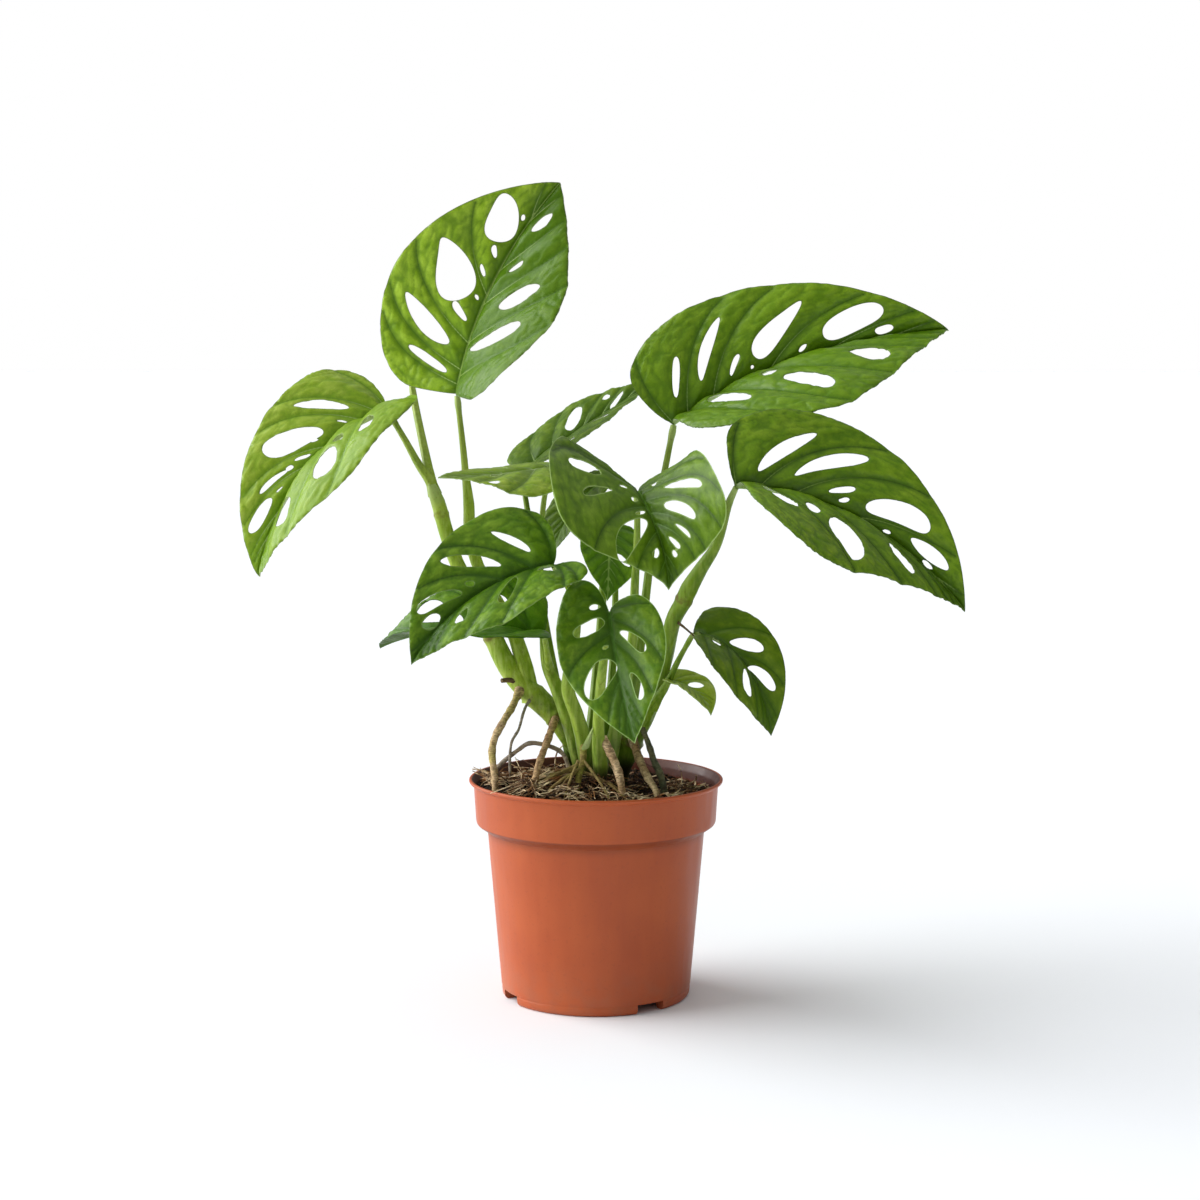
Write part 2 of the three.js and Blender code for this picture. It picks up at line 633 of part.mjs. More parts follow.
// Four vines stand in the pot. Each is one growth: a cane with the leaf stalks that spring
// from it. Stations run from the foot in the mix up to the blade. The canes of the front
// and back vines are buried, so only their leaf stalks show.
const VINES = {
  vine_left: {
    cane: [
      [-1, 9, 91, 4], [-2, 8, 107, 4.7], [-6, 7, 115, 5.2], [-12, 6, 123, 5.2], [-19, 6, 132, 5.3],
      [-27, 6, 140, 5.6], [-35, 7, 147, 5.2], [-42, 8, 156, 4.9], [-49, 9, 170, 4.5],
      [-57, 10, 187, 4], [-66, 12, 205, 3.4], [-71, 15, 219, 3.5], [-75, 18, 233, 3.6],
      [-78, 19, 241, 3.3],
    ],
    farLeftStalk: [
      [-76, 19, 236, 2.8], [-79, 20, 243, 2.4], [-84, 22, 250, 1.9], [-91, 26, 262, 1.5],
      [-99, 30, 275, 1.2],
    ],
    newShoot: [
      [-77, 19, 236, 2.8], [-80, 24, 249, 2.1], [-84, 36, 264, 1.9], [-89, 54, 283, 1.7],
      [-91, 62, 295, 1],
    ],
    topLeftStalk: [
      [-31, 7, 139, 4.2], [-34, 8, 155, 3.8], [-40, 12, 173, 3.1], [-50, 15, 191, 2.8],
      [-57, 17, 205, 2.8], [-60, 18, 219, 2.8], [-60.5, 19, 232, 2.6], [-62, 21, 246, 1.7],
      [-63, 22, 257, 1.5], [-66, 25, 283, 1.2],
    ],
  },
  vine_front: {
    cane: [[-8, -5, 94, 3.2], [-5, -11, 94, 3.3], [-2, -18, 94, 3.3], [2, -25, 94, 3]],
    levelStalk: [
      [-7, -7, 94, 3], [-8, -6, 115, 3.7], [-13, -5, 132, 3.5], [-18, -3, 146, 3.3],
      [-23, 0, 157, 2.6], [-25, 3, 170, 1.6], [-26, 5, 188, 1.4], [-26, 6, 209, 1.4],
      [-25, 6, 230, 1.3], [-22, 5, 249, 1.1],
    ],
    lowLeftStalk: [[-22, -1, 156, 2.1], [-23, -9, 165, 1.3], [-24, -15, 173, 0.9]],
    leftStalk: [
      [-3, -15, 94, 3], [-4, -15, 115, 3.7], [-9, -17, 136, 3.2], [-13, -21, 149, 3],
      [-11, -27, 166, 2.5], [-9, -34, 183, 2], [-12, -42, 198, 1.6], [-19, -49, 209, 1.1],
    ],
    frontStalk: [
      [2, -24, 94, 2.9], [2, -24, 113, 3.2], [1, -27, 129, 2.7], [2, -34, 151, 2.3],
      [4, -43, 170, 1.8], [5, -50, 182, 1.3], [6, -54, 188.5, 1],
    ],
    centreStalk: [
      [-3, -15, 94, 2.6], [3, -12, 99, 2.8], [6, -10, 113, 3.2], [12, -9, 142, 2.8],
      [17, -9, 170, 2.3], [18, -10, 194, 2], [19, -15, 218, 1.6], [19, -21, 240, 1.3],
    ],
  },
  vine_back: {
    cane: [[9, 16, 94, 3.2], [2, 21, 94, 3.3], [-4, 24, 94, 3.3], [-12, 23, 94, 3]],
    upperRightStalk: [
      [8, 17, 94, 3], [10, 16, 109, 3.3], [17, 16, 138, 2.8], [21, 16, 167, 2.4],
      [24, 18, 191, 2], [28, 22, 224, 1.7], [33, 25, 249, 1.5], [37, 28, 269, 1.3],
    ],
    hangingStalk: [
      [2, 21, 94, 2.6], [3, 22, 113, 2.4], [7, 25, 142, 1.9], [9, 31, 175, 1.6],
      [9, 32, 202, 1.3], [7, 28, 219, 1.1],
    ],
    behindCentreStalk: [
      [-4, 24, 94, 2.9], [-3, 29, 112, 2.9], [0, 35, 145, 2.4], [3, 42, 184, 1.9],
      [4, 45, 213, 1.5], [3, 42, 240, 1.1],
    ],
    highMiddleStalk: [
      [-11, 23, 94, 2.8], [-13, 22, 116, 2.9], [-19, 27, 142, 2.4], [-25, 32, 175, 1.9],
      [-30, 38, 208, 1.6], [-34, 42, 232, 1.3], [-36, 44, 245, 1.1],
    ],
  },
  vine_right: {
    cane: [
      [12, 3, 91, 4.2], [12, 2, 108, 5.4], [16, 0, 122, 5.8], [23, -4, 134, 4.6], [28, -8, 147, 3.9],
      [32, -12, 161, 3.5], [36, -17, 181, 3.7], [40, -19, 189, 3.9], [43, -22, 196, 4.1],
      [48, -25, 205, 3.2], [55, -30, 217, 2.3], [60, -38, 236, 1.8], [63, -44, 244, 1.3],
    ],
    lowRightStalk: [
      [18, -2, 124, 3.3], [25, -8, 137, 2.5], [28, -12, 143, 2.1], [33, -16, 151, 1.6],
      [38, -19, 162, 1.3], [45, -20, 175, 0.9],
    ],
    youngStalk: [[27, -10, 138, 1.8], [31, -14, 146, 1.2], [34, -15, 151, 0.8]],
  },
};

// Aerial roots, from the cane or stalk that each springs from down into the mix. The last
// one is bare of any cane: it arches out of the mix and back into it.
const ROOTS = [
  [[-36, 3, 145, 1.9], [-39, -6, 139, 1.6], [-43, -14, 133, 1.6], [-47, -20, 126, 1.6],
    [-48, -24, 120, 1.6], [-47, -27, 111, 1.5], [-46, -28, 94, 1.4]],
  [[-31, 2, 141, 0.8], [-34, -7, 136, 0.7], [-36, -12, 129, 0.7], [-39, -16, 124, 0.7],
    [-40, -18, 117, 0.7], [-39, -20, 96, 0.7]],
  [[-19, 3, 132, 1.7], [-21, -12, 128, 1.6], [-24, -23, 121, 1.5], [-27, -30, 113, 1.4],
    [-30, -34, 94, 1.4]],
  [[-6, -16, 124, 1.7], [-6, -25, 116, 1.5], [-8, -29, 109, 1.4], [-9, -32, 93, 1.2]],
  [[3, -25, 127, 1.8], [8, -30, 118, 1.8], [11, -34, 110, 1.7], [13, -38, 92, 1.5]],
  [[17, -4, 124, 1.9], [20, -18, 116, 1.8], [24, -29, 109, 1.6], [28, -36, 103, 1.3],
    [31, -40, 92, 1.1]],
  [[21, -5, 130, 1.4], [25, -13, 121, 1.6], [27, -19, 115, 1.8], [30, -24, 109, 1.9],
    [33, -29, 92, 1.9]],
  [[-49, -14, 93, 1], [-46, -16, 111, 1], [-41, -17, 116, 1], [-36, -17, 120, 1],
    [-31, -17, 123, 1], [-23, -17, 122, 1], [-16, -19, 119, 1], [-13, -23, 114, 1],
    [-12, -26, 93, 1]],
];

const blades = LEAVES.map((leaf) => toSolid(bladeGeometry(leaf, BLADE + 2 * GAP)));
let grownVines = null;

for (const [name, stalks] of Object.entries(VINES)) {
  const tubes = Object.values(stalks).map((stations) => toSolid(tube(stations, STALK_SIDES)));
  let vine = joined(tubes);
  if (grownVines) vine = vine.subtract(grownVines);
  for (const blade of blades) {
    if (!vine.intersect(blade).isEmpty()) vine = vine.subtract(blade);
  }
  const grown = joined(Object.values(stalks).map((stations) => toSolid(tube(stations, STALK_SIDES, GAP))));
  grownVines = grownVines ? grownVines.add(grown) : grown;
  addPiece(name, toGeometry(vine), greenStem);
}

let grownRoots = null;
ROOTS.forEach((stations, i) => {
  let root = toSolid(tube(stations, ROOT_SIDES)).subtract(grownVines);
  if (grownRoots) root = root.subtract(grownRoots);
  const grown = toSolid(tube(stations, ROOT_SIDES, GAP));
  grownRoots = grownRoots ? grownRoots.add(grown) : grown;
  addPiece(`aerial_root_${i + 1}`, toGeometry(root), barkBrown);
});

// ---------------------------------------------------------------- potting mix

// The mix fills the pot to just under its lip. It stands higher round the vines and has
// sunk a little at the back right, and every vine and root stands in a hole in it.
const SOIL_SEGMENTS = 32;
const DIP = 5;

function soilHeight(x, y) {
  const mound = SOIL_MOUND * Math.exp(-((x + 15) ** 2 + (y + 5) ** 2) / 900);
  const dip = DIP * Math.exp(-((x - 40) ** 2 + (y - 15) ** 2) / 500);
  const lumps = 0.6 * Math.sin(0.31 * x + 1) * Math.cos(0.27 * y) + 0.4 * Math.sin(0.53 * y + 0.2 * x);
  return SOIL_LEVEL + mound - dip + lumps;
}

const soilRadius = COLLAR_RADIUS - WALL + 0.7;
const soilProfile = [
  [0, FLOOR_TOP + GAP],
  [FOOT_RADIUS - WALL - GAP, FLOOR_TOP + GAP],
  [BODY_RADIUS - WALL - GAP, COLLAR_EDGE - STEP_DROP + 1],
  [COLLAR_RADIUS - WALL - GAP, COLLAR_EDGE + 1 + GAP],
  ...[soilRadius, 47, 38, 29, 20, 10, 0].map((radius) => [radius, SOIL_LEVEL]),
];

function soilGeometry() {
  const geometry = turned(soilProfile, SOIL_SEGMENTS);
  const position = geometry.attributes.position;
  for (let i = 0; i < position.count; i += 1) {
    if (position.getZ(i) > SOIL_LEVEL - 0.01) {
      position.setZ(i, soilHeight(position.getX(i), position.getY(i)));
    }
  }
  return geometry;
}

const mix = toSolid(soilGeometry()).subtract(grownVines).subtract(grownRoots);
addPiece('potting_mix', toGeometry(mix), soil);

export default plant;
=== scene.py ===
import json
import math
import random

import bpy
import numpy as np
from mathutils import Euler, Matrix, Vector, geometry, kdtree, noise


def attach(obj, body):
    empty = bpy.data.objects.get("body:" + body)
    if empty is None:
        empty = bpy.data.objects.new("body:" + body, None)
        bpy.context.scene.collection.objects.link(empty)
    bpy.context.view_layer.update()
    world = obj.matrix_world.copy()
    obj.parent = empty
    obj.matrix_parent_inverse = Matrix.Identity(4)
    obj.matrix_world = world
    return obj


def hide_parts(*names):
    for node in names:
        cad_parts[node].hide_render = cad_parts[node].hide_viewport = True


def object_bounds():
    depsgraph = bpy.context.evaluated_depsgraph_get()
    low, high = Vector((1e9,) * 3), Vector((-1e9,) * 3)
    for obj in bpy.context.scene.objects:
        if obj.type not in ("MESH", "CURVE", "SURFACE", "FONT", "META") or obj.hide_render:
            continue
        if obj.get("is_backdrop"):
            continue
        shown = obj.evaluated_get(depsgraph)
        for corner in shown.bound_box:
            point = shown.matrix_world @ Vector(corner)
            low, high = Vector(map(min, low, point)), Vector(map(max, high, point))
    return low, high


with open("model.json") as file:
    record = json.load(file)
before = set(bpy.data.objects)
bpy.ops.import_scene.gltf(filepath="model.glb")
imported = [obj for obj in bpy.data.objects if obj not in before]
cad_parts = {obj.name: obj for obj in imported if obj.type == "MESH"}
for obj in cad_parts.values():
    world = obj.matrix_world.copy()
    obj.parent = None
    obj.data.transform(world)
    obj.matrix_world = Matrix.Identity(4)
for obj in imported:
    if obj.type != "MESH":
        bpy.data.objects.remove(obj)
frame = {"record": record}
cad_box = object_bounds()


# ---------------------------------------------------------------- studio
# A plain white floor that runs out of sight, one very broad soft light from the left that
# throws a long soft shadow to the right, and white light from above all round.

MM = 0.001
CAMERA_PLACE = (1.9 * MM, -1166 * MM, 318 * MM)
CAMERA_TILT = 83.65  # degrees from straight down
CAMERA_LENS = 75
CAMERA_NEAR = 0.01
KEY_FROM = (-1.0, 0.15, 0.44)
KEY_STRENGTH = 4.6
KEY_SPREAD = 70  # degrees across, as the plant sees it
LIGHT_ABOVE = 0.62
LIGHT_AROUND = 0.16
FULL_LIGHT = 0.8  # how high up, from 0 level to 1 overhead, the light from above is at its full
LEFT_SHARE = 1.35  # the room is brighter on the window side
RIGHT_SHARE = 0.65
FLOOR_SIDE = 30.0
FLOOR_LEVEL = -0.1  # millimetres, just clear of the pot's foot
SQUARE = ((-1, -1), (1, -1), (1, 1), (-1, 1))


def paint(code):
    """A colour written as a hex code, as the linear colour that the shaders take."""
    shares = [int(code[i : i + 2], 16) / 255 for i in (1, 3, 5)]
    return (*[s / 12.92 if s <= 0.04045 else ((s + 0.055) / 1.055) ** 2.4 for s in shares], 1)


def add_node(tree, kind, inputs=None, **settings):
    """A node with its settings, and its inputs set to values or linked to sockets."""
    node = tree.nodes.new(kind)
    for name, value in settings.items():
        setattr(node, name, value)
    for name, value in (inputs or {}).items():
        if isinstance(value, bpy.types.NodeSocket):
            tree.links.new(value, node.inputs[name])
        else:
            node.inputs[name].default_value = value
    return node


def output_of(tree, kind, inputs=None, output=0, **settings):
    """One output of a new node."""
    return add_node(tree, kind, inputs, **settings).outputs[output]


def ramp(tree, value, start, end, low=0.0, high=1.0, shape="SMOOTHSTEP"):
    """`low` where the value is at or before `start`, `high` at or past `end`, smooth between."""
    limits = {0: value, 1: start, 2: end, 3: low, 4: high}
    return output_of(tree, "ShaderNodeMapRange", limits, interpolation_type=shape)


def calculated(tree, operation, first, second):
    """A sum, difference, product and so on of two values."""
    return output_of(tree, "ShaderNodeMath", {0: first, 1: second}, operation=operation)


def times(tree, first, second):
    return calculated(tree, "MULTIPLY", first, second)


def new_material(name, **shader_values):
    """A material, its tree and its Principled shader with plain values set on the shader."""
    material = bpy.data.materials.new(name)
    material.use_nodes = True
    shader = material.node_tree.nodes["Principled BSDF"]
    for socket, value in shader_values.items():
        shader.inputs[socket.replace("_", " ")].default_value = value
    return material, material.node_tree, shader


def new_object(name, data):
    """An object in the scene that holds a mesh, a lamp or a camera."""
    thing = bpy.data.objects.new(name, data)
    bpy.context.scene.collection.objects.link(thing)
    return thing


def mesh_object(name, vertices, faces):
    """A smooth shaded mesh in metres from points in millimetres."""
    mesh = bpy.data.meshes.new(name)
    mesh.from_pydata((np.asarray(vertices, float) * MM).tolist(), [], [list(face) for face in faces])
    mesh.polygons.foreach_set("use_smooth", [True] * len(mesh.polygons))
    mesh.update()
    return new_object(name, mesh)


camera = new_object("camera", bpy.data.cameras.new("camera"))
camera.location = CAMERA_PLACE
camera.rotation_euler = (math.radians(CAMERA_TILT), 0, 0)
camera.data.lens = CAMERA_LENS
camera.data.clip_start = CAMERA_NEAR
bpy.context.scene.camera = camera
bpy.context.scene.view_settings.view_transform = "Standard"

window_light = new_object("window_light", bpy.data.lights.new("window_light", "SUN"))
window_light.data.energy = KEY_STRENGTH
window_light.data.angle = math.radians(KEY_SPREAD)
window_light.rotation_euler = (-Vector(KEY_FROM)).to_track_quat("-Z", "Y").to_euler()

world = bpy.data.worlds.new("white_room")
world.use_nodes = True
bpy.context.scene.world = world
sky = world.node_tree
direction = output_of(sky, "ShaderNodeTexCoord", output="Generated")
sideways, _, height = add_node(sky, "ShaderNodeSeparateXYZ", {0: direction}).outputs
from_above = ramp(sky, height, 0.0, FULL_LIGHT, LIGHT_AROUND, LIGHT_ABOVE, "LINEAR")
from_the_left = ramp(sky, sideways, -1.0, 1.0, LEFT_SHARE, RIGHT_SHARE, "LINEAR")
light = times(sky, from_above, from_the_left)
backdrop = output_of(sky, "ShaderNodeBackground", {"Color": (1, 1, 1, 1), "Strength": 1.0})
room = output_of(sky, "ShaderNodeBackground", {"Color": (1, 1, 1, 1), "Strength": light})
seen = output_of(sky, "ShaderNodeLightPath", output="Is Camera Ray")
shown = output_of(sky, "ShaderNodeMixShader", {0: seen, 1: room, 2: backdrop})
sky.links.new(shown, sky.nodes["World Output"].inputs["Surface"])

floor_white, tree, shader = new_material("floor_white", Base_Color=paint("#f6f9fd"), Roughness=0.9)
half_floor = FLOOR_SIDE / MM / 2
floor_corners = [(x * half_floor, y * half_floor, FLOOR_LEVEL) for x, y in SQUARE]
floor = mesh_object("floor", floor_corners, [(0, 1, 2, 3)])
floor.data.materials.append(floor_white)
floor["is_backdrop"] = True


# ---------------------------------------------------------------- pot
# One thin walled injection moulding in terracotta coloured polypropylene, satin, with a
# deep collar, a rolled lip, and a recessed base that stands on a notched foot ring.

RIM_RADIUS = 60
POT_HEIGHT = 104
FOOT_RADIUS = 44.5
WALL = 1.5
COLLAR_EDGE = POT_HEIGHT - 21
COLLAR_RADIUS = 56.5
BODY_RADIUS = 51.3
STEP_DROP = 3.2
FLOOR_TOP = 5.5
BASE_RECESS = 3.5
PAD_RADIUS = 18
POT_SEGMENTS = 192
NOTCH_BEARINGS = (-55, 205, 55, 130)
NOTCH_DEPTH = 14
NOTCH_WIDTH = 14.5
NOTCH_HEIGHT = 4.5
DRAIN_RADIUS = 3
DRAIN_CIRCLE = 29
DRAIN_OFFSET = 45  # degrees from each notch to the drain hole beside it
DRAIN_SIDES = 32


def rounded(corners, radius, steps=4):
    """The corners of a profile, each rounded by an arc that starts `radius` before it.

    A third number in a corner is a radius of its own."""
    places = [np.array(corner[:2], float) for corner in corners]
    points = [places[0]]
    for before, corner, after, given_corner in zip(places, places[1:], places[2:], corners[1:]):
        back, ahead = before - corner, after - corner
        bend = given_corner[2] if len(given_corner) > 2 else radius
        reach = min(bend, 0.45 * np.linalg.norm(back), 0.45 * np.linalg.norm(ahead))
        start = corner + back / np.linalg.norm(back) * reach
        end = corner + ahead / np.linalg.norm(ahead) * reach
        for share in np.linspace(0, 1, steps):
            points.append((1 - share) ** 2 * start + 2 * share * (1 - share) * corner + share**2 * end)
    points.append(places[-1])
    return points


def turned(name, profile, segments):
    """A profile of (radius, height) points from the axis to the axis, turned about it."""
    vertices, faces, rings = [], [], []
    for radius, height in profile:
        if radius < 1e-6:
            rings.append([len(vertices)])
            vertices.append((0, 0, height))
            continue
        rings.append(list(range(len(vertices), len(vertices) + segments)))
        for k in range(segments):
            turn = 2 * math.pi * k / segments
            vertices.append((radius * math.cos(turn), radius * math.sin(turn), height))
    for low, high in zip(rings, rings[1:]):
        for k in range(segments):
            j = (k + 1) % segments
            if len(low) == 1:
                faces.append((low[0], high[j], high[k]))
            elif len(high) == 1:
                faces.append((low[k], low[j], high[0]))
            else:
                faces.append((low[k], low[j], high[j], high[k]))
    return mesh_object(name, vertices, faces)


def tube_faces(rings, sides):
    """The faces of a closed tube whose points run ring by ring, from its foot to its top."""
    faces = [tuple(reversed(range(sides)))]
    for low in range(0, (rings - 1) * sides, sides):
        for k in range(sides):
            j = (k + 1) % sides
            faces.append((low + k, low + j, low + sides + j, low + sides + k))
    faces.append(tuple(range((rings - 1) * sides, rings * sides)))
    return faces


def upright_bar(name, outline, low, high):
    """A closed bar with this outline, anticlockwise from above, between two heights."""
    vertices = [(x, y, z) for z in (low, high) for x, y in outline]
    return mesh_object(name, vertices, tube_faces(2, len(outline)))


def turned_about(points, bearing):
    """Level points turned about the pot's axis by degrees."""
    turn = math.radians(bearing)
    across, along = math.cos(turn), math.sin(turn)
    return [(x * across - y * along, x * along + y * across) for x, y in points]


def notch_bar(bearing):
    """A box that lies across the foot ring, to cut a drain notch with."""
    outline = [(FOOT_RADIUS + x * NOTCH_DEPTH / 2, y * NOTCH_WIDTH / 2) for x, y in SQUARE]
    return upright_bar("notch_bar", turned_about(outline, bearing), -NOTCH_HEIGHT, NOTCH_HEIGHT)


def drain_bar(bearing):
    """A round bar through the base, to cut a drain hole with."""
    [(x, y)] = turned_about([(DRAIN_CIRCLE, 0)], bearing)
    turns = [2 * math.pi * k / DRAIN_SIDES for k in range(DRAIN_SIDES)]
    outline = [(x + DRAIN_RADIUS * math.cos(a), y + DRAIN_RADIUS * math.sin(a)) for a in turns]
    return upright_bar("drain_bar", outline, -2, 2 * FLOOR_TOP)


def worked_in(thing):
    """The object's mesh with its modifiers worked in. The modifiers are then removed."""
    bpy.context.view_layer.update()
    evaluated = thing.evaluated_get(bpy.context.evaluated_depsgraph_get())
    mesh = bpy.data.meshes.new_from_object(evaluated)
    for modifier in list(thing.modifiers):
        thing.modifiers.remove(modifier)
    return mesh


def combine(thing, others, operation, solver):
    """Cuts other closed objects out of one, or joins them to it, and removes them."""
    for other in others:
        step = thing.modifiers.new("combine", "BOOLEAN")
        step.operation = operation
        step.solver = solver
        step.object = other
    thing.data = worked_in(thing)
    for other in others:
        bpy.data.objects.remove(other)


lip = [
    (RIM_RADIUS - 2.2, POT_HEIGHT - 2.5, 0.4),
    (RIM_RADIUS - 0.8, POT_HEIGHT - 2.1),
    (RIM_RADIUS, POT_HEIGHT - 1.2),
    (RIM_RADIUS - 0.1, POT_HEIGHT - 0.3),
    (RIM_RADIUS - 1.0, POT_HEIGHT),
    (RIM_RADIUS - 1.8, POT_HEIGHT - 0.5),
    (RIM_RADIUS - 3.5, POT_HEIGHT - 3.4),
]
pot_corners = [
    (0, 0),
    (PAD_RADIUS, 0),
    (PAD_RADIUS + 1.5, BASE_RECESS),
    (FOOT_RADIUS - 6, BASE_RECESS),
    (FOOT_RADIUS - 4.5, 0),
    (FOOT_RADIUS - 0.9, 0),
    (FOOT_RADIUS, 1.3),
    (FOOT_RADIUS + 0.25, 3.6),
    (FOOT_RADIUS + 0.05, 4.4),
    (FOOT_RADIUS + 0.45, 5.4),
    (BODY_RADIUS, COLLAR_EDGE - STEP_DROP - 0.3, 0.4),
    (COLLAR_RADIUS, COLLAR_EDGE, 0.9),
    (COLLAR_RADIUS + 0.25, COLLAR_EDGE + 1.5),
    *lip,
    (COLLAR_RADIUS - WALL, COLLAR_EDGE + 1),
    (BODY_RADIUS - WALL, COLLAR_EDGE - STEP_DROP + 1),
    (FOOT_RADIUS - WALL, FLOOR_TOP),
    (0, FLOOR_TOP),
]
pot = turned("plastic_pot", rounded(pot_corners, 0.8), POT_SEGMENTS)
notch_bars = [notch_bar(bearing) for bearing in NOTCH_BEARINGS]
drain_bars = [drain_bar(bearing + DRAIN_OFFSET) for bearing in NOTCH_BEARINGS]
combine(pot, notch_bars + drain_bars, "DIFFERENCE", "EXACT")
pot.data.set_sharp_from_angle(angle=math.radians(50))


def new_group(name, kind, inputs, outputs):
    """An empty node group with these named sockets, and what its input node gives."""
    group = bpy.data.node_groups.new(name, kind)
    for direction, sockets in (("INPUT", inputs), ("OUTPUT", outputs)):
        for label, socket in sockets.items():
            group.interface.new_socket(label, in_out=direction, socket_type="NodeSocket" + socket)
    return group, add_node(group, "NodeGroupInput").outputs


# A finish that most of the materials share: soft patches of one value against another. The
# cloud is hardly ever above CLOUD_TOP, which gives no patches, or below CLOUD_FOOT.
CLOUD_TOP, CLOUD_FOOT = 0.72, 0.28
patches, given = new_group(
    "patches",
    "ShaderNodeTree",
    {"Vector": "Vector", "Size": "Float", "Detail": "Float", "Share": "Float", "Softness": "Float"},
    {"Mask": "Float"},
)
scale = calculated(patches, "DIVIDE", 1.0, given["Size"])
cloud_inputs = {"Vector": given["Vector"], "Scale": scale, "Detail": given["Detail"]}
cloud = output_of(patches, "ShaderNodeTexNoise", cloud_inputs)
middle = ramp(patches, given["Share"], 0.0, 1.0, CLOUD_TOP, CLOUD_FOOT, "LINEAR")
low = calculated(patches, "SUBTRACT", middle, given["Softness"])
high = calculated(patches, "ADD", middle, given["Softness"])
add_node(patches, "NodeGroupOutput", {"Mask": ramp(patches, cloud, low, high)})


def patch_mask(tree, vector, size, detail=2.0, share=0.5, softness=0.12):
    """A mask of soft patches about `size` metres across that cover about `share` of the surface."""
    values = {"Vector": vector, "Size": size, "Detail": detail, "Share": share, "Softness": softness}
    return output_of(tree, "ShaderNodeGroup", values, "Mask", node_tree=patches)


def mixed(tree, share, first, second):
    """The second colour over the first by a share."""
    return output_of(tree, "ShaderNodeMix", {0: share, 6: first, 7: second}, 2, data_type="RGBA")


def coated(tree, colour, *coats):
    """The colour under coats, each given as its mask, how much of it shows there, and its colour."""
    for mask, share, coat in coats:
        shade = paint(coat) if isinstance(coat, str) else coat
        colour = mixed(tree, times(tree, mask, share), colour, shade)
    return colour


def grain(tree, place, fineness, detail):
    return output_of(tree, "ShaderNodeTexNoise", {"Vector": place, "Scale": fineness, "Detail": detail})


def finish(tree, shader, colour, relief, strength, depth, roughness=None):
    """Gives the shader its colour, its relief `depth` metres deep and, where it varies, its roughness."""
    tree.links.new(colour, shader.inputs["Base Color"])
    if roughness:
        tree.links.new(roughness, shader.inputs["Roughness"])
    values = {"Height": relief, "Strength": strength, "Distance": depth}
    tree.links.new(output_of(tree, "ShaderNodeBump", values), shader.inputs["Normal"])


def object_place(tree):
    return output_of(tree, "ShaderNodeTexCoord", output="Object")


def stretched(tree, vector, scale):
    return output_of(tree, "ShaderNodeMapping", {"Vector": vector, "Scale": scale})


def upward_part(tree, vector):
    return output_of(tree, "ShaderNodeSeparateXYZ", {0: vector}, "Z")


def vector_math(tree, operation, inputs, output=0):
    return output_of(tree, "ShaderNodeVectorMath", inputs, output, operation=operation)


def axis_distance(tree, place):
    """How far a place is from the upright line through the pot's middle."""
    level = vector_math(tree, "MULTIPLY", {0: place, 1: (1.0, 1.0, 0.0)})
    return vector_math(tree, "LENGTH", {0: level}, "Value")


def put_in_place(piece, slot, *nodes):
    """The piece belongs to the plant's one body and stands for these solids."""
    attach(piece, "root")
    if nodes:
        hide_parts(*nodes)


DAMP_AND_SHADE_FOOT, DAMP_AND_SHADE_TOP = 94, 97.5  # heights on the inner wall over which the damp stain and the painted shade inside the rim set in
LIP_FLARE = 1.8  # how far the wall's inner face leans out towards the lip
SHADE_DROP = 8  # how far below the collar the painted shade under it reaches
DUST_TOP = 30

pot_plastic, tree, shader = new_material("pot_plastic", Specular_IOR_Level=0.32)
place = object_place(tree)
height_up = upward_part(tree, place)
broad = patch_mask(tree, place, 0.035, 3.0, 0.5, 0.25)
flow = patch_mask(tree, stretched(tree, place, (1, 1, 0.12)), 0.006, 4.0, 0.5, 0.3)
speck = patch_mask(tree, place, 0.0016, 1.0, 0.12, 0.03)
flare = ramp(tree, height_up, (POT_HEIGHT - 3.4) * MM, (POT_HEIGHT - 0.4) * MM, 0.0, LIP_FLARE * MM)
wall_reach = calculated(tree, "SUBTRACT", axis_distance(tree, place), flare)
# Damp stain and painted shade: the inner wall above the mix is painted dark, as it is stained and lies in
# shade inside the rim.
damp_and_shade_inside = times(
    tree,
    ramp(tree, wall_reach, (RIM_RADIUS - 2.9) * MM, (RIM_RADIUS - 3.3) * MM),
    ramp(tree, height_up, DAMP_AND_SHADE_FOOT * MM, DAMP_AND_SHADE_TOP * MM),
)
# Painted shade: the collar's underside and the wall just below it are painted darker, as shade falls under
# the collar.
painted_shade_under_collar = times(
    tree,
    ramp(tree, height_up, (COLLAR_EDGE + 0.6) * MM, (COLLAR_EDGE - 0.1) * MM, 0.0, 0.5),
    ramp(tree, height_up, (COLLAR_EDGE - SHADE_DROP) * MM, (COLLAR_EDGE - 0.4) * MM),
)
dust = times(tree, ramp(tree, height_up, DUST_TOP * MM, 0.0), patch_mask(tree, place, 0.009, 5.0, 0.5, 0.2))
colour = coated(
    tree,
    mixed(tree, broad, paint("#b5562a"), paint("#a94c25")),
    (flow, 0.3, "#bf6134"),
    # damp stain and painted shade inside the rim
    (damp_and_shade_inside, 0.9, "#3c160a"),
    # painted shade under the collar
    (painted_shade_under_collar, 1.0, "#3a1408"),
    (speck, 0.18, "#8e4529"),
    (dust, 0.25, "#8f6a52"),
)
satin = ramp(tree, flow, 0.0, 1.0, 0.36, 0.5)
finish(tree, shader, colour, grain(tree, place, 900.0, 3.0), 0.12, 0.0002, satin)
pot.data.materials.clear()
pot.data.materials.append(pot_plastic)
put_in_place(pot, "pot_plastic", "pot")


# ---------------------------------------------------------------- potting mix
# Dark moist peat with crumbs of bark, filled to just under the lip, pressed into a low mound
# round the stems and heaped at the front.

SOIL_LEVEL = 98
SOIL_GAP = 0.35
SOIL_RADIUS = COLLAR_RADIUS - WALL + 0.9
SOIL_RINGS = 90
SOIL_SEGMENTS = 200
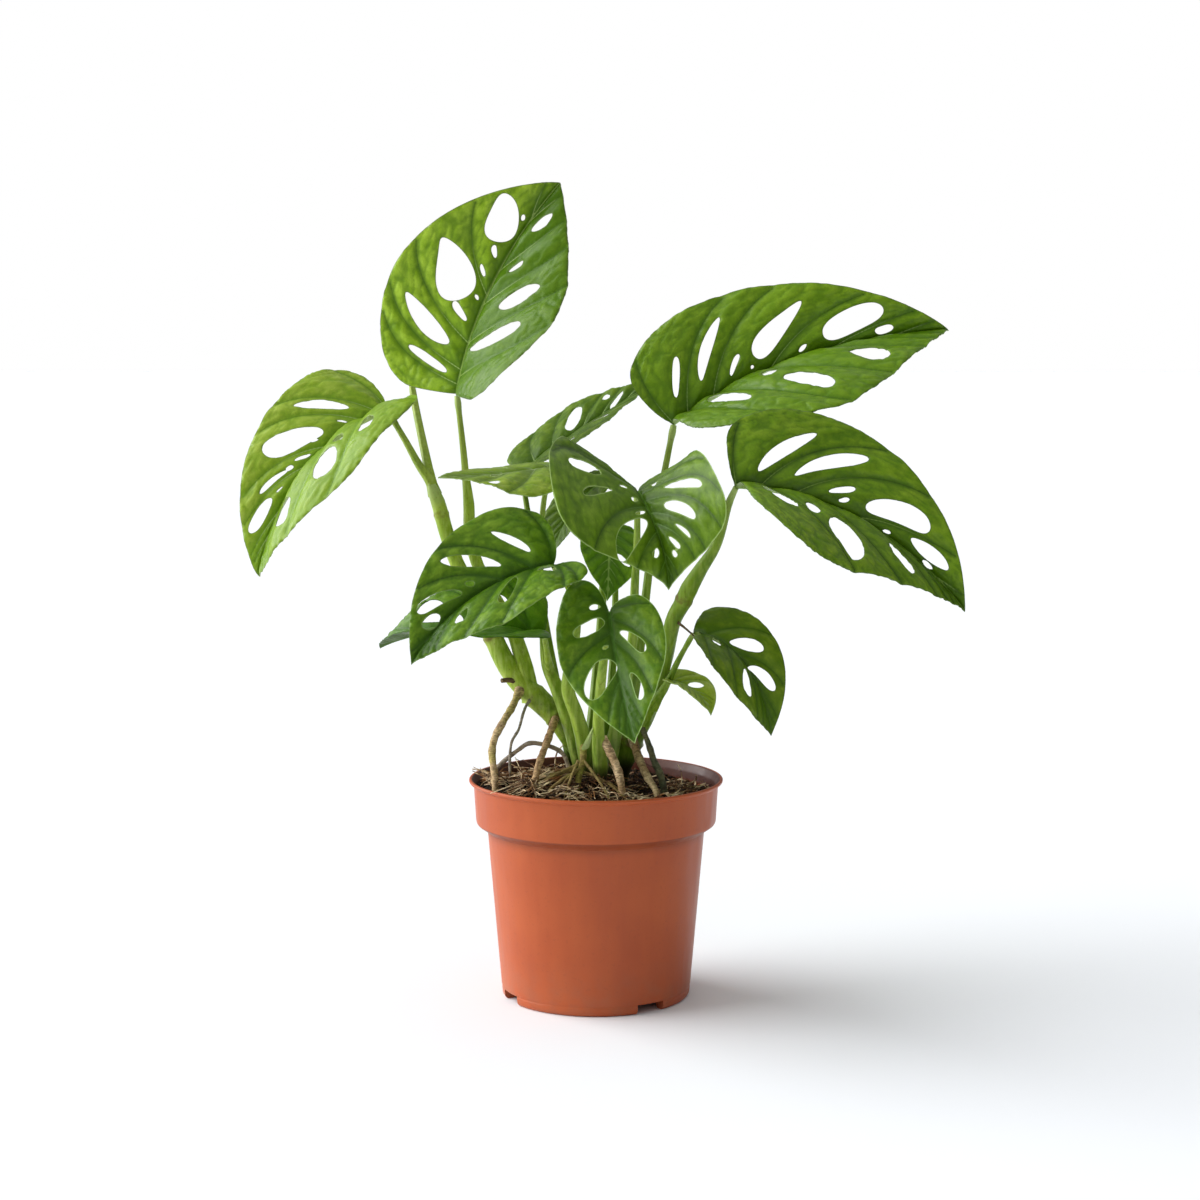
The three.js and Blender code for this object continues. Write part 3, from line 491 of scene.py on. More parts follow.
# Where loose mix and straws lie heaped: x, y, spread and height of the heap.
HEAPS = [
    (-46, -22, 7, 7.5),
    (-31, -31, 8, 6.5),
    (-15, -33, 8, 5.0),
    (-24, -8, 9, 5.0),
    (-4, -42, 9, 2.6),
    (16, -44, 8, 2.2),
    (36, -32, 9, 2.6),
    (48, -10, 9, 2.6),
    (38, 6, 12, 4.0),
    (-50, 0, 9, 2.5),
    (2, -25, 8, 6.5),
]
PACKED_SHARE = 0.6  # how much of a heap is packed mix, with loose straws above


def soil_height(x, y):
    """The height of the mix alone: the mound, the dip at the back right and slow lumps."""
    mound = 7 * math.exp(-((x + 15) ** 2 + (y + 5) ** 2) / 900)
    dip = 5 * math.exp(-((x - 40) ** 2 + (y - 15) ** 2) / 500)
    lumps = 0.6 * math.sin(0.31 * x + 1) * math.cos(0.27 * y) + 0.4 * math.sin(0.53 * y + 0.2 * x)
    return SOIL_LEVEL + mound - dip + lumps


def heap_height(x, y):
    return max(h * math.exp(-((x - a) ** 2 + (y - b) ** 2) / (2 * spread**2)) for a, b, spread, h in HEAPS)


def soil_surface(x, y):
    """The height with its heaps and crumbly roughness, which fades out against the wall."""
    spot = Vector((x, y, 3.0))
    rough = 1.1 * noise.fractal(spot / 9, 0.7, 2.1, 4) + 0.7 * noise.noise(spot / 1.7)
    edge = min(1, max(0, (SOIL_RADIUS - math.hypot(x, y)) / 4))
    return soil_height(x, y) + PACKED_SHARE * heap_height(x, y) + rough * (0.3 + 0.7 * edge)


side_profile = [
    (0, FLOOR_TOP + SOIL_GAP),
    (FOOT_RADIUS - WALL - SOIL_GAP, FLOOR_TOP + SOIL_GAP),
    (BODY_RADIUS - WALL - SOIL_GAP, COLLAR_EDGE - STEP_DROP + 1),
    (COLLAR_RADIUS - WALL - SOIL_GAP, COLLAR_EDGE + 1 + SOIL_GAP),
]
top_profile = [(SOIL_RADIUS * (1 - k / SOIL_RINGS), SOIL_LEVEL) for k in range(SOIL_RINGS + 1)]
soil = turned("packed_mix", side_profile + top_profile, SOIL_SEGMENTS)
for vertex in soil.data.vertices:
    if vertex.co.z > (SOIL_LEVEL - 0.01) * MM:
        vertex.co.z = soil_surface(vertex.co.x / MM, vertex.co.y / MM) * MM

mix_brown, tree, shader = new_material("mix_brown", Specular_IOR_Level=0.12)
place = object_place(tree)
clods = patch_mask(tree, place, 0.006, 4.0, 0.5, 0.15)
colour = coated(
    tree,
    mixed(tree, clods, paint("#100801"), paint("#301b0a")),
    (patch_mask(tree, place, 0.0022, 3.0, 0.35, 0.05), 0.7, "#0d0906"),
    (patch_mask(tree, place, 0.0013, 2.0, 0.10, 0.03), 0.6, "#7a5a3a"),
)
dullness = ramp(tree, clods, 0.0, 1.0, 0.7, 0.98)
finish(tree, shader, colour, grain(tree, place, 1400.0, 5.0), 0.8, 0.0006, dullness)
soil.data.materials.append(mix_brown)


# ---------------------------------------------------------------- crumbs and chips
# Loose rough lumps of peat, and larger chips of bark, that lie strewn over the whole top of the
# mix and keep clear of the pot's wall.

CRUMB_REACH = SOIL_RADIUS - 1.4
LEVEL_ENOUGH = 0.3  # how far upwards a face must look to hold crumbs
FULL_TURN = 6.3


def grow(thing, tree, values, name):
    """Runs a geometry tree on an object and gives its result as a plain mesh object."""
    modifier = thing.modifiers.new("grow", "NODES")
    modifier.node_group = tree
    sockets = {item.name: item.identifier for item in tree.interface.items_tree if item.in_out == "INPUT"}
    for label, value in values.items():
        modifier[sockets[label]] = value
    return new_object(name, worked_in(thing))


def random_value(tree, low, high, seed):
    """A random number for each point, or a random vector where the limits are vectors."""
    if isinstance(low, tuple):
        values = {0: low, 1: high, "Seed": seed}
        return output_of(tree, "FunctionNodeRandomValue", values, data_type="FLOAT_VECTOR")
    values = {2: low, 3: high, "Seed": seed}
    return output_of(tree, "FunctionNodeRandomValue", values, 1, data_type="FLOAT")


def end_tree(tree, geometry, material, smooth):
    """Closes a tree: its instances are made real, shaded and given the material."""
    real = output_of(tree, "GeometryNodeRealizeInstances", {0: geometry})
    shaded = output_of(tree, "GeometryNodeSetShadeSmooth", {0: real, "Shade Smooth": smooth})
    dressed = output_of(tree, "GeometryNodeSetMaterial", {0: shaded, "Material": material})
    add_node(tree, "NodeGroupOutput", {0: dressed})


crumb_tree, given = new_group(
    "strewn_crumbs",
    "GeometryNodeTree",
    {
        "Geometry": "Geometry",
        "Density": "Float",
        "Reach": "Float",
        "Smallest": "Float",
        "Largest": "Float",
        "Seed": "Int",
        "Material": "Material",
    },
    {"Geometry": "Geometry"},
)
slope = {0: upward_part(crumb_tree, output_of(crumb_tree, "GeometryNodeInputNormal")), 1: LEVEL_ENOUGH}
on_top = output_of(crumb_tree, "FunctionNodeCompare", slope, operation="GREATER_THAN")
reach = axis_distance(crumb_tree, output_of(crumb_tree, "GeometryNodeInputPosition"))
limits = {0: reach, 1: given["Reach"]}
off_wall = output_of(crumb_tree, "FunctionNodeCompare", limits, operation="LESS_THAN")
chosen = output_of(crumb_tree, "FunctionNodeBooleanMath", {0: on_top, 1: off_wall}, operation="AND")
strewn = {0: given[0], "Selection": chosen, "Density": given["Density"], "Seed": given["Seed"]}
points = output_of(crumb_tree, "GeometryNodeDistributePointsOnFaces", strewn)
lump = output_of(crumb_tree, "GeometryNodeMeshIcoSphere", {"Radius": 1.0, "Subdivisions": 1})
chance = calculated(crumb_tree, "POWER", random_value(crumb_tree, 0.0, 1.0, given["Seed"]), 3.0)
size = ramp(crumb_tree, chance, 0.0, 1.0, given["Smallest"], given["Largest"], "LINEAR")
shape = random_value(crumb_tree, (0.6, 0.6, 0.4), (1.3, 1.0, 0.8), given["Seed"])
scale = vector_math(crumb_tree, "SCALE", {0: shape, "Scale": size})
turn = random_value(crumb_tree, (0.0, 0.0, 0.0), (FULL_TURN, FULL_TURN, FULL_TURN), given["Seed"])
turned_by = output_of(crumb_tree, "FunctionNodeEulerToRotation", {0: turn})
placed = {0: points, "Instance": lump, "Rotation": turned_by, "Scale": scale}
crumbs = output_of(crumb_tree, "GeometryNodeInstanceOnPoints", placed)
end_tree(crumb_tree, crumbs, given["Material"], False)


def strewn_over_mix(name, density, smallest, largest, seed, material):
    """Lumps of one kind, so many to a square metre, with sizes in millimetres."""
    values = {
        "Density": density,
        "Reach": CRUMB_REACH * MM,
        "Smallest": smallest * MM,
        "Largest": largest * MM,
        "Seed": seed,
        "Material": material,
    }
    return grow(soil, crumb_tree, values, name)


bark_chip, tree, shader = new_material("bark_chip", Roughness=0.85, Specular_IOR_Level=0.2)
place = object_place(tree)
kinds = patch_mask(tree, place, 0.005, 0.0, 0.5, 0.05)
streaks = patch_mask(tree, stretched(tree, place, (1, 1, 4)), 0.0012, 3.0, 0.5, 0.2)
colour = coated(tree, mixed(tree, kinds, paint("#1e1107"), paint("#5a3a1c")), (streaks, 0.5, "#140d08"))
finish(tree, shader, colour, streaks, 0.5, 0.0004)

fine_crumbs = strewn_over_mix("peat_crumbs", 380000.0, 0.4, 1.6, 3, mix_brown)
chips = strewn_over_mix("bark_chips", 42000.0, 1.1, 3.0, 11, bark_chip)
put_in_place(soil, "potting_mix", "potting_mix")
put_in_place(fine_crumbs, "potting_mix")
put_in_place(chips, "potting_mix")


# ---------------------------------------------------------------- coir
# Coconut fibre mixed into the peat: pale straws and finer dark fibres that lie loose on top,
# thickest in the heaps, with bundles that lean from the crown and over the lip on the left.

STRAY_SHARE = 0.07  # straws that stick up out of the heaps
HEAPED_SHARE = 0.8
STRAW_POINTS = 9
LEANING_POINTS = 12

# Round strands that follow lines, also used for the roots.
strand_tree, given = new_group(
    "strands",
    "GeometryNodeTree",
    {
        "Geometry": "Geometry",
        "Sides": "Int",
        "Wobble": "Float",
        "Wobble Size": "Float",
        "Material": "Material",
    },
    {"Geometry": "Geometry"},
)
line = output_of(strand_tree, "GeometryNodeMeshToCurve", {0: given[0]})
circle = {"Resolution": given["Sides"], "Radius": 1.0}
ring = output_of(strand_tree, "GeometryNodeCurvePrimitiveCircle", circle)
named = {"Name": "thickness"}
thickness = output_of(strand_tree, "GeometryNodeInputNamedAttribute", named, data_type="FLOAT")
swept = {0: line, 1: ring, "Scale": thickness, "Fill Caps": True}
strands = output_of(strand_tree, "GeometryNodeCurveToMesh", swept)
per_size = calculated(strand_tree, "DIVIDE", 1.0, given["Wobble Size"])
waves = output_of(strand_tree, "ShaderNodeTexNoise", {"Scale": per_size, "Detail": 3.0}, 1)
centred = vector_math(strand_tree, "SUBTRACT", {0: waves, 1: (0.5, 0.5, 0.5)})
offset = vector_math(strand_tree, "SCALE", {0: centred, "Scale": given["Wobble"]})
wobbled = output_of(strand_tree, "GeometryNodeSetPosition", {0: strands, "Offset": offset})
end_tree(strand_tree, wobbled, given["Material"], True)


def strands_along(name, lines, sides, wobble, wobble_size, material):
    """One mesh of round strands from lines of (points, radii), in millimetres."""
    vertices, edges, radii = [], [], []
    for points, thicknesses in lines:
        edges += [(len(vertices) + i, len(vertices) + i + 1) for i in range(len(points) - 1)]
        vertices += [tuple(point) for point in points]
        radii += list(thicknesses)
    mesh = bpy.data.meshes.new("lines")
    mesh.from_pydata((np.array(vertices) * MM).tolist(), edges, [])
    mesh.attributes.new("thickness", "FLOAT", "POINT").data.foreach_set("value", np.array(radii) * MM)
    lines_object = new_object("lines", mesh)
    values = {"Sides": sides, "Wobble": wobble * MM, "Wobble Size": wobble_size * MM, "Material": material}
    piece = grow(lines_object, strand_tree, values, name)
    bpy.data.objects.remove(lines_object)
    return piece


def straw_lines(count, thinnest, thickest, seed):
    """Loose straws that lie on the mix, most of them in the heaps."""
    pick = random.Random(seed)
    lines = []
    while len(lines) < count:
        if pick.random() < HEAPED_SHARE:
            centre_x, centre_y, spread, _ = pick.choice(HEAPS)
            x, y = pick.gauss(centre_x, spread), pick.gauss(centre_y, spread)
        else:
            reach, bearing = SOIL_RADIUS * math.sqrt(pick.random()), pick.uniform(0, 2 * math.pi)
            x, y = reach * math.cos(bearing), reach * math.sin(bearing)
        length, heading = pick.uniform(6, 22), pick.uniform(0, 2 * math.pi)
        step = length / (STRAW_POINTS - 1)
        bend = pick.uniform(-0.10, 0.10)
        tilt = pick.uniform(0.2, 0.7) if pick.random() < STRAY_SHARE else pick.uniform(-0.02, 0.16)
        lift = 0.3 + 0.8 * heap_height(x, y) * pick.random()
        points = []
        for k in range(STRAW_POINTS):
            if math.hypot(x, y) > SOIL_RADIUS - 0.6:
                break
            points.append((x, y, soil_surface(x, y) + lift + tilt * k * step))
            heading += bend * step
            x += math.cos(heading) * step
            y += math.sin(heading) * step
        if len(points) > 3:
            thickness = pick.uniform(thinnest, thickest)
            taper = [0.6 + 0.4 * math.sin(math.pi * k / len(points)) for k in range(len(points))]
            lines.append((points, [thickness * share for share in taper]))
    return lines


def leaning_straws(count, start, end, thickest, seed):
    """Straws from one spot to another, each spot given as x, y, height above the mix and spread."""
    pick = random.Random(seed)
    lines = []
    for _ in range(count):
        spots = []
        for x, y, above, spread in (start, end):
            a, b = pick.gauss(x, spread), pick.gauss(y, spread)
            spots.append(np.array([a, b, soil_height(a, b) + above + pick.uniform(-1.5, 1.5)]))
        middle = (spots[0] + spots[1]) / 2 + [pick.gauss(0, 1), pick.gauss(0, 1), pick.uniform(-1.5, 2.5)]
        shares = np.linspace(0, 1, LEANING_POINTS)
        along = shares[:, None]
        points = (1 - along) ** 2 * spots[0] + 2 * along * (1 - along) * middle + along**2 * spots[1]
        thickness = pick.uniform(0.5, 1.0) * thickest
        lines.append((points.tolist(), thickness * (0.5 + 0.5 * np.sin(math.pi * shares))))
    return lines


def straw_material(name, dark, pale, stain):
    material, tree, shader = new_material(name, Roughness=0.8)
    place = object_place(tree)
    colour = mixed(tree, patch_mask(tree, place, 0.007, 1.0, 0.5, 0.15), paint(dark), paint(pale))
    colour = coated(tree, colour, (patch_mask(tree, place, 0.002, 3.0, 0.3, 0.1), 1.0, stain))
    tree.links.new(colour, shader.inputs["Base Color"])
    return material


coir_straw = straw_material("coir_straw", "#8c5c2c", "#fae2b8", "#3e2410")
coir_dust = straw_material("coir_dust", "#2a1507", "#80542a", "#120903")
loose_straws = straw_lines(300, 0.16, 0.40, 5)
over_the_lip = leaning_straws(12, (-44, -20, 5, 3), (-55, -21, 12, 2.5), 0.42, 21)
bundles = leaning_straws(26, (-12, -24, 9, 3), (-38, -34, 4, 5), 0.42, 22)
bundles += leaning_straws(16, (-20, -20, 6, 5), (-42, -14, 6, 5), 0.38, 23)
straws = strands_along("coir_straws", loose_straws + over_the_lip + bundles, 5, 0.5, 3.0, coir_straw)
fibres = strands_along("coir_fibres", straw_lines(460, 0.10, 0.26, 8), 4, 0.6, 2.0, coir_dust)
put_in_place(straws, "potting_mix")
put_in_place(fibres, "potting_mix")


# ---------------------------------------------------------------- vines
# Four growths, each a jointed cane and the leaf stalks that spring from it, round, fleshy
# and smooth, with a shallow groove up the side of each stalk and a swelling below its leaf.

# Stations run from the foot in the mix up to the blade: x, y, z and radius.
VINES = {
    "vine_left": {
        "cane": [
            [-1, 9, 91, 4], [-2, 8, 107, 4.7], [-6, 7, 115, 5.2], [-12, 6, 123, 5.2],
            [-19, 6, 132, 5.3], [-27, 6, 140, 5.6], [-35, 7, 147, 5.2], [-42, 8, 156, 4.9],
            [-49, 9, 170, 4.5], [-57, 10, 187, 4], [-66, 12, 205, 3.4], [-71, 15, 219, 3.5],
            [-75, 18, 233, 3.4], [-77, 18.5, 238, 2.9], [-78, 19, 241, 2.2],
        ],
        "far_left_stalk": [
            [-76, 19, 236, 2.8], [-79, 20, 243, 2.4], [-84, 22, 250, 1.9], [-91, 26, 262, 1.5],
            [-99, 30, 275, 1.2],
        ],
        "new_shoot": [
            [-77, 19, 236, 2.8], [-80, 24, 249, 2.1], [-84, 36, 264, 1.9], [-89, 54, 283, 1.7],
            [-91, 62, 295, 1],
        ],
        "top_left_stalk": [
            [-31, 7, 139, 4.2], [-34, 8, 155, 3.8], [-40, 12, 173, 3.1], [-50, 15, 191, 2.8],
            [-57, 17, 205, 2.8], [-60, 18, 219, 2.8], [-60.5, 19, 232, 2.6], [-62, 21, 246, 1.7],
            [-63, 22, 257, 1.5], [-66, 25, 283, 1.2],
        ],
    },
    "vine_front": {
        "cane": [[-8, -5, 94, 3.2], [-5, -11, 94, 3.3], [-2, -18, 94, 3.3], [2, -25, 94, 3]],
        "level_stalk": [
            [-7, -7, 94, 3], [-8, -6, 115, 3.7], [-13, -5, 132, 3.5], [-18, -3, 146, 3.3],
            [-23, 0, 157, 2.6], [-25, 3, 170, 1.6], [-26, 5, 188, 1.4], [-26, 6, 209, 1.4],
            [-25, 6, 230, 1.3], [-22, 5, 249, 1.1],
        ],
        "low_left_stalk": [[-22, -1, 156, 2.1], [-23, -9, 165, 1.3], [-24, -15, 173, 0.9]],
        "left_stalk": [
            [-3, -15, 94, 3], [-4, -15, 115, 3.7], [-9, -17, 136, 3.2], [-13, -21, 149, 3],
            [-11, -27, 166, 2.5], [-9, -34, 183, 2], [-12, -42, 198, 1.6], [-19, -49, 209, 1.1],
        ],
        "front_stalk": [
            [2, -24, 94, 2.9], [2, -24, 113, 3.2], [1, -27, 129, 2.7], [2, -34, 151, 2.3],
            [4, -43, 170, 1.8], [5, -50, 182, 1.3], [6, -54, 188.5, 1],
        ],
        "centre_stalk": [
            [-3, -15, 94, 2.6], [3, -12, 99, 2.8], [6, -10, 113, 3.2], [12, -9, 142, 2.8],
            [17, -9, 170, 2.3], [18, -10, 194, 2], [19, -15, 218, 1.6], [19, -21, 240, 1.3],
        ],
    },
    "vine_back": {
        "cane": [[9, 16, 94, 3.2], [2, 21, 94, 3.3], [-4, 24, 94, 3.3], [-12, 23, 94, 3]],
        "upper_right_stalk": [
            [8, 17, 94, 3], [10, 16, 109, 3.3], [17, 16, 138, 2.8], [21, 16, 167, 2.4],
            [24, 18, 191, 2], [28, 22, 224, 1.7], [33, 25, 249, 1.5], [37, 28, 269, 1.3],
        ],
        "hanging_stalk": [
            [2, 21, 94, 2.6], [3, 22, 113, 2.4], [7, 25, 142, 1.9], [9, 31, 175, 1.6],
            [9, 32, 202, 1.3], [7, 28, 219, 1.1],
        ],
        "behind_centre_stalk": [
            [-4, 24, 94, 2.9], [-3, 29, 112, 2.9], [0, 35, 145, 2.4], [3, 42, 184, 1.9],
            [4, 45, 213, 1.5], [3, 42, 240, 1.1],
        ],
        "high_middle_stalk": [
            [-11, 23, 94, 2.8], [-13, 22, 116, 2.9], [-19, 27, 142, 2.4], [-25, 32, 175, 1.9],
            [-30, 38, 208, 1.6], [-34, 42, 232, 1.3], [-36, 44, 245, 1.1],
        ],
    },
    "vine_right": {
        "cane": [
            [12, 3, 91, 4.2], [12, 2, 108, 5.4], [16, 0, 122, 5.8], [23, -4, 134, 4.6],
            [28, -8, 147, 3.9], [32, -12, 161, 3.5], [36, -17, 181, 3.7], [40, -19, 189, 3.9],
            [43, -22, 196, 4.1], [48, -25, 205, 3.2], [55, -30, 217, 2.3], [60, -38, 236, 1.8],
            [63, -44, 244, 1.3],
        ],
        "low_right_stalk": [
            [18, -2, 124, 3.3], [25, -8, 137, 2.5], [28, -12, 143, 2.1], [33, -16, 151, 1.6],
            [38, -19, 162, 1.3], [45, -20, 175, 0.9],
        ],
        "young_stalk": [[27, -10, 138, 1.8], [31, -14, 146, 1.2], [34, -15, 151, 0.8]],
    },
}
STALK_SIDES = 28
STALK_STEP = 1.6
JOINTS = {
    "vine_left": [(-19, 6, 132), (-31, 6, 141), (-49, 9, 170), (-73, 16, 227)],
    "vine_right": [(16, 0, 122), (28, -8, 147), (41, -20, 191)],
}
JOINT_REACH = 4  # a joint further than this from a stem isn't that stem's
# Each swelling or hollow below is first a share of the stem's radius, then its place and width.
RING, RING_SPREAD = 0.10, 1.6  # the ring that stands out at a joint
WAIST, WAIST_ABOVE, WAIST_SPREAD = 0.05, 1.2, 0.5  # the narrowing just above the ring
GROOVE_SIDE = Vector((0.5, -1, 0.3))
GROOVE, GROOVE_WIDTH = 0.20, 0.42
WING, FOOT_WING, WING_BEARING, WING_WIDTH = 0.10, 0.12, 0.8, 0.22  # the wings beside the groove
BULB_HEIGHT = 119  # where the stalks are swollen above the mix
BULB, BULB_SPREAD = 0.14, 7
FOOT_TAPER, TAPER_DROP, TAPER_LENGTH = 0.35, 6, 12  # the narrowing below the bulb
KNEE, KNEE_BELOW, KNEE_SPREAD = 0.28, 3.5, 3.0  # the swelling just below a leaf
FAR = 20.0  # a distance from the joints past which it makes no difference


def smooth_path(stations, step):
    """Points about `step` apart along the round curve through the stations, with their radii."""
    knots = np.array(stations, float)
    padded = np.vstack([2 * knots[0] - knots[1], knots, 2 * knots[-1] - knots[-2]])
    path = []
    for i in range(1, len(knots)):
        p = padded[i - 1 : i + 3]
        first, middle, last = np.sqrt(np.linalg.norm(np.diff(p[:, :3], axis=0), axis=1))
        leave = (p[1] - p[0]) / first - (p[2] - p[0]) / (first + middle) + (p[2] - p[1]) / middle
        arrive = (p[2] - p[1]) / middle - (p[3] - p[1]) / (middle + last) + (p[3] - p[2]) / last
        cuts = max(2, round(middle**2 / step))
        for share in np.arange(cuts) / cuts:
            a = 2 * share**3 - 3 * share**2 + 1
            b = share**3 - 2 * share**2 + share
            c = 3 * share**2 - 2 * share**3
            d = share**3 - share**2
            point = a * p[1] + b * leave * middle + c * p[2] + d * arrive * middle
            point[3] = (1 - share) * p[1][3] + share * p[2][3]
            path.append(point)
    path.append(knots[-1])
    return np.array(path)


def stalk_radii(centres, radii, run, joints, grooved):
    """The radii with the rings at the joints, the bulb over the mix and the knee below the leaf."""
    for joint in joints:
        reach = np.linalg.norm(centres - np.array(joint), axis=1)
        if reach.min() < JOINT_REACH:
            gap = run - run[np.argmin(reach)]
            ring = RING * np.exp(-((gap / RING_SPREAD) ** 2))
            waist = WAIST * np.exp(-(((gap - WAIST_ABOVE) / WAIST_SPREAD) ** 2))
            radii = radii * (1 + ring - waist)
    heights = centres[:, 2]
    radii = radii * (1 + BULB * np.exp(-(((heights - BULB_HEIGHT) / BULB_SPREAD) ** 2)))
    buried = np.clip((BULB_HEIGHT - TAPER_DROP - heights) / TAPER_LENGTH, 0, 1)
    radii = radii * (1 - FOOT_TAPER * buried)
    if grooved:
        radii = radii * (1 + KNEE * np.exp(-(((run[-1] - run - KNEE_BELOW) / KNEE_SPREAD) ** 2)))
    return radii


def stalk_mesh(name, stations, joints, grooved):
    """One closed stalk, round, or with a groove up its side between two low wings."""
    path = smooth_path(stations, STALK_STEP)
    centres = path[:, :3]
    along = np.gradient(centres, axis=0)
    along /= np.linalg.norm(along, axis=1)[:, None]
    run = np.r_[0, np.cumsum(np.linalg.norm(np.diff(centres, axis=0), axis=1))]
    radii = stalk_radii(centres, path[:, 3], run, joints, grooved)
    normal = GROOVE_SIDE.copy()
    turns = np.linspace(0, 2 * math.pi, STALK_SIDES, endpoint=False)
    gap_to_groove = np.abs((turns + math.pi) % (2 * math.pi) - math.pi)
    vertices = []
    for i, (centre, direction) in enumerate(zip(centres, along)):
        axis = Vector(direction)
        normal = (normal - axis * normal.dot(axis)).normalized()
        sideways = axis.cross(normal)
        section = np.ones(STALK_SIDES)
        if grooved:
            depth = GROOVE * min(1, (run[-1] - run[i]) / 8)
            wings = WING + FOOT_WING * max(0, 1 - 2 * run[i] / run[-1])
            section -= depth * np.exp(-((gap_to_groove / GROOVE_WIDTH) ** 2))
            section += wings * np.exp(-(((gap_to_groove - WING_BEARING) / WING_WIDTH) ** 2))
        outward = np.cos(turns)[:, None] * np.array(normal) + np.sin(turns)[:, None] * np.array(sideways)
        vertices += (centre + (section * radii[i])[:, None] * outward).tolist()
    return mesh_object(name, vertices, tube_faces(len(centres), STALK_SIDES))


def set_attribute(thing, name, values):
    thing.data.attributes.new(name, "FLOAT", "POINT").data.foreach_set("value", values)


def mark_along(thing, stalks, joints):
    """Gives every point its place up its own stalk, 0 to 1, and its distance from the joints."""
    samples = []
    for name, stations in stalks.items():
        path = smooth_path(stations, STALK_STEP)
        for i, point in enumerate(path):
            samples.append((point[:3], point[3], i / (len(path) - 1), name == "cane"))
    tree = kdtree.KDTree(len(samples))
    for i, sample in enumerate(samples):
        tree.insert(Vector(sample[0]), i)
    tree.balance()
    place_along, joint_gap = [], []
    for vertex in thing.data.vertices:
        near = tree.find_n(vertex.co / MM, 6)
        best = min(near, key=lambda found: abs(found[2] - samples[found[1]][1]))
        spot, _, share, on_cane = samples[best[1]]
        place_along.append(share)
        gaps = [float(np.linalg.norm(spot - np.array(joint))) for joint in joints] if on_cane else []
        joint_gap.append(min(gaps + [FAR]))
    set_attribute(thing, "place_along", place_along)
    set_attribute(thing, "joint_gap", joint_gap)


def attribute(tree, name):
    return output_of(tree, "ShaderNodeAttribute", output="Fac", attribute_name=name)


# For each growth: its skin's two greens, its pale streaks and, where it isn't FOOT_TOP, how high
# the deeper green of its foot reaches.
STEM_GREENS = {
    "vine_left": ("#84a61a", "#b2ca42", "#d6e482", 150),
    "vine_front": ("#70921a", "#9ab438", "#c4d46e"),
    "vine_back": ("#5c7c10", "#7c9a24", "#a4b852"),
    "vine_right": ("#5a7c0a", "#7a981c", "#a2b64c"),
}
FOOT_TOP = 130
FOOT_FADE = 18
PAINTED_SHADE_TOP, PAINTED_SHADE_FOOT = 116.5, 108  # heights over which painted shade darkens the feet under the bulbs
PALE_FOOT, PALE_TOP = 200, 270  # heights over which the stalks turn greyer
SCAR_REACH = 2.6  # how far from a joint its brown scar spreads


def stem_skin(name, deep, bright, streak, foot_top=FOOT_TOP):
    """Smooth green skin with fine long streaks, paler below the leaf, brown at the joints and in painted
    shade at the foot.
    """
    material, tree, shader = new_material(name, Roughness=0.42, Specular_IOR_Level=0.25)
    place = object_place(tree)
    height_up = upward_part(tree, place)
    along_stem = stretched(tree, place, (1, 1, 0.08))
    streaks = patch_mask(tree, along_stem, 0.0014, 2.0, 0.45, 0.15)
    foot = ramp(tree, height_up, foot_top * MM, (foot_top - FOOT_FADE) * MM)
    scar = ramp(tree, attribute(tree, "joint_gap"), SCAR_REACH, 0.4)
    colour = coated(
        tree,
        mixed(tree, patch_mask(tree, place, 0.014, 3.0, 0.5, 0.25), paint(deep), paint(bright)),
        (patch_mask(tree, along_stem, 0.0021, 2.0, 0.4, 0.15), 0.28, "#46660a"),
        (streaks, 0.32, streak),
        (ramp(tree, height_up, PALE_FOOT * MM, PALE_TOP * MM), 0.45, "#8a984c"),
        (ramp(tree, attribute(tree, "place_along"), 0.92, 1.0), 1.0, "#a9bd6c"),
        (times(tree, foot, patch_mask(tree, place, 0.006, 3.0, 0.6, 0.2)), 0.65, "#2c4a0a"),
        # painted shade: the feet are painted near black where shade falls under the bulbs
        (ramp(tree, height_up, PAINTED_SHADE_TOP * MM, PAINTED_SHADE_FOOT * MM), 0.92, "#1a1406"),
        (times(tree, scar, patch_mask(tree, place, 0.003, 3.0, 0.6, 0.15)), 0.85, "#6b5526"),
        (patch_mask(tree, place, 0.0009, 1.0, 0.08, 0.03), 0.45, "#6a5424"),
    )
    finish(tree, shader, colour, streaks, 0.2, 0.0003)
    return material


for name, stalks in VINES.items():
    joints = JOINTS.get(name, ())
    grown = "grown_" + name
    stems = []
    for part, stations in stalks.items():
        is_cane = part == "cane"
        stems.append(stalk_mesh(grown, stations, joints if is_cane else (), not is_cane))
    vine = stems[0]
    combine(vine, stems[1:], "UNION", "MANIFOLD")
    vine.data.polygons.foreach_set("use_smooth", [True] * len(vine.data.polygons))
    vine.data.set_sharp_from_angle(angle=math.radians(60))
    mark_along(vine, stalks, joints)
    vine.data.materials.clear()
    vine.data.materials.append(stem_skin("stem_skin_" + name.removeprefix("vine_"), *STEM_GREENS[name]))
    put_in_place(vine, "green_stem", name)


# ---------------------------------------------------------------- bract
# The pale dry sheath of an old stalk: one thin pointed flap that stands in front of the crown,
# grown from the front vine.

# Stations from its foot to its point: x, y, z and half its width.
BRACT = [
    (-5.5, -29.0, 122, 0.9),
    (-4.9, -29.3, 123, 1.7),
    (-4.2, -29.6, 125, 1.5),
    (-3.0, -29.6, 128, 1.1),
    (-1.8, -29.2, 131, 0.6),
    (-0.6, -28.5, 134, 0.2),
]
BRACT_THICKNESS = 0.5

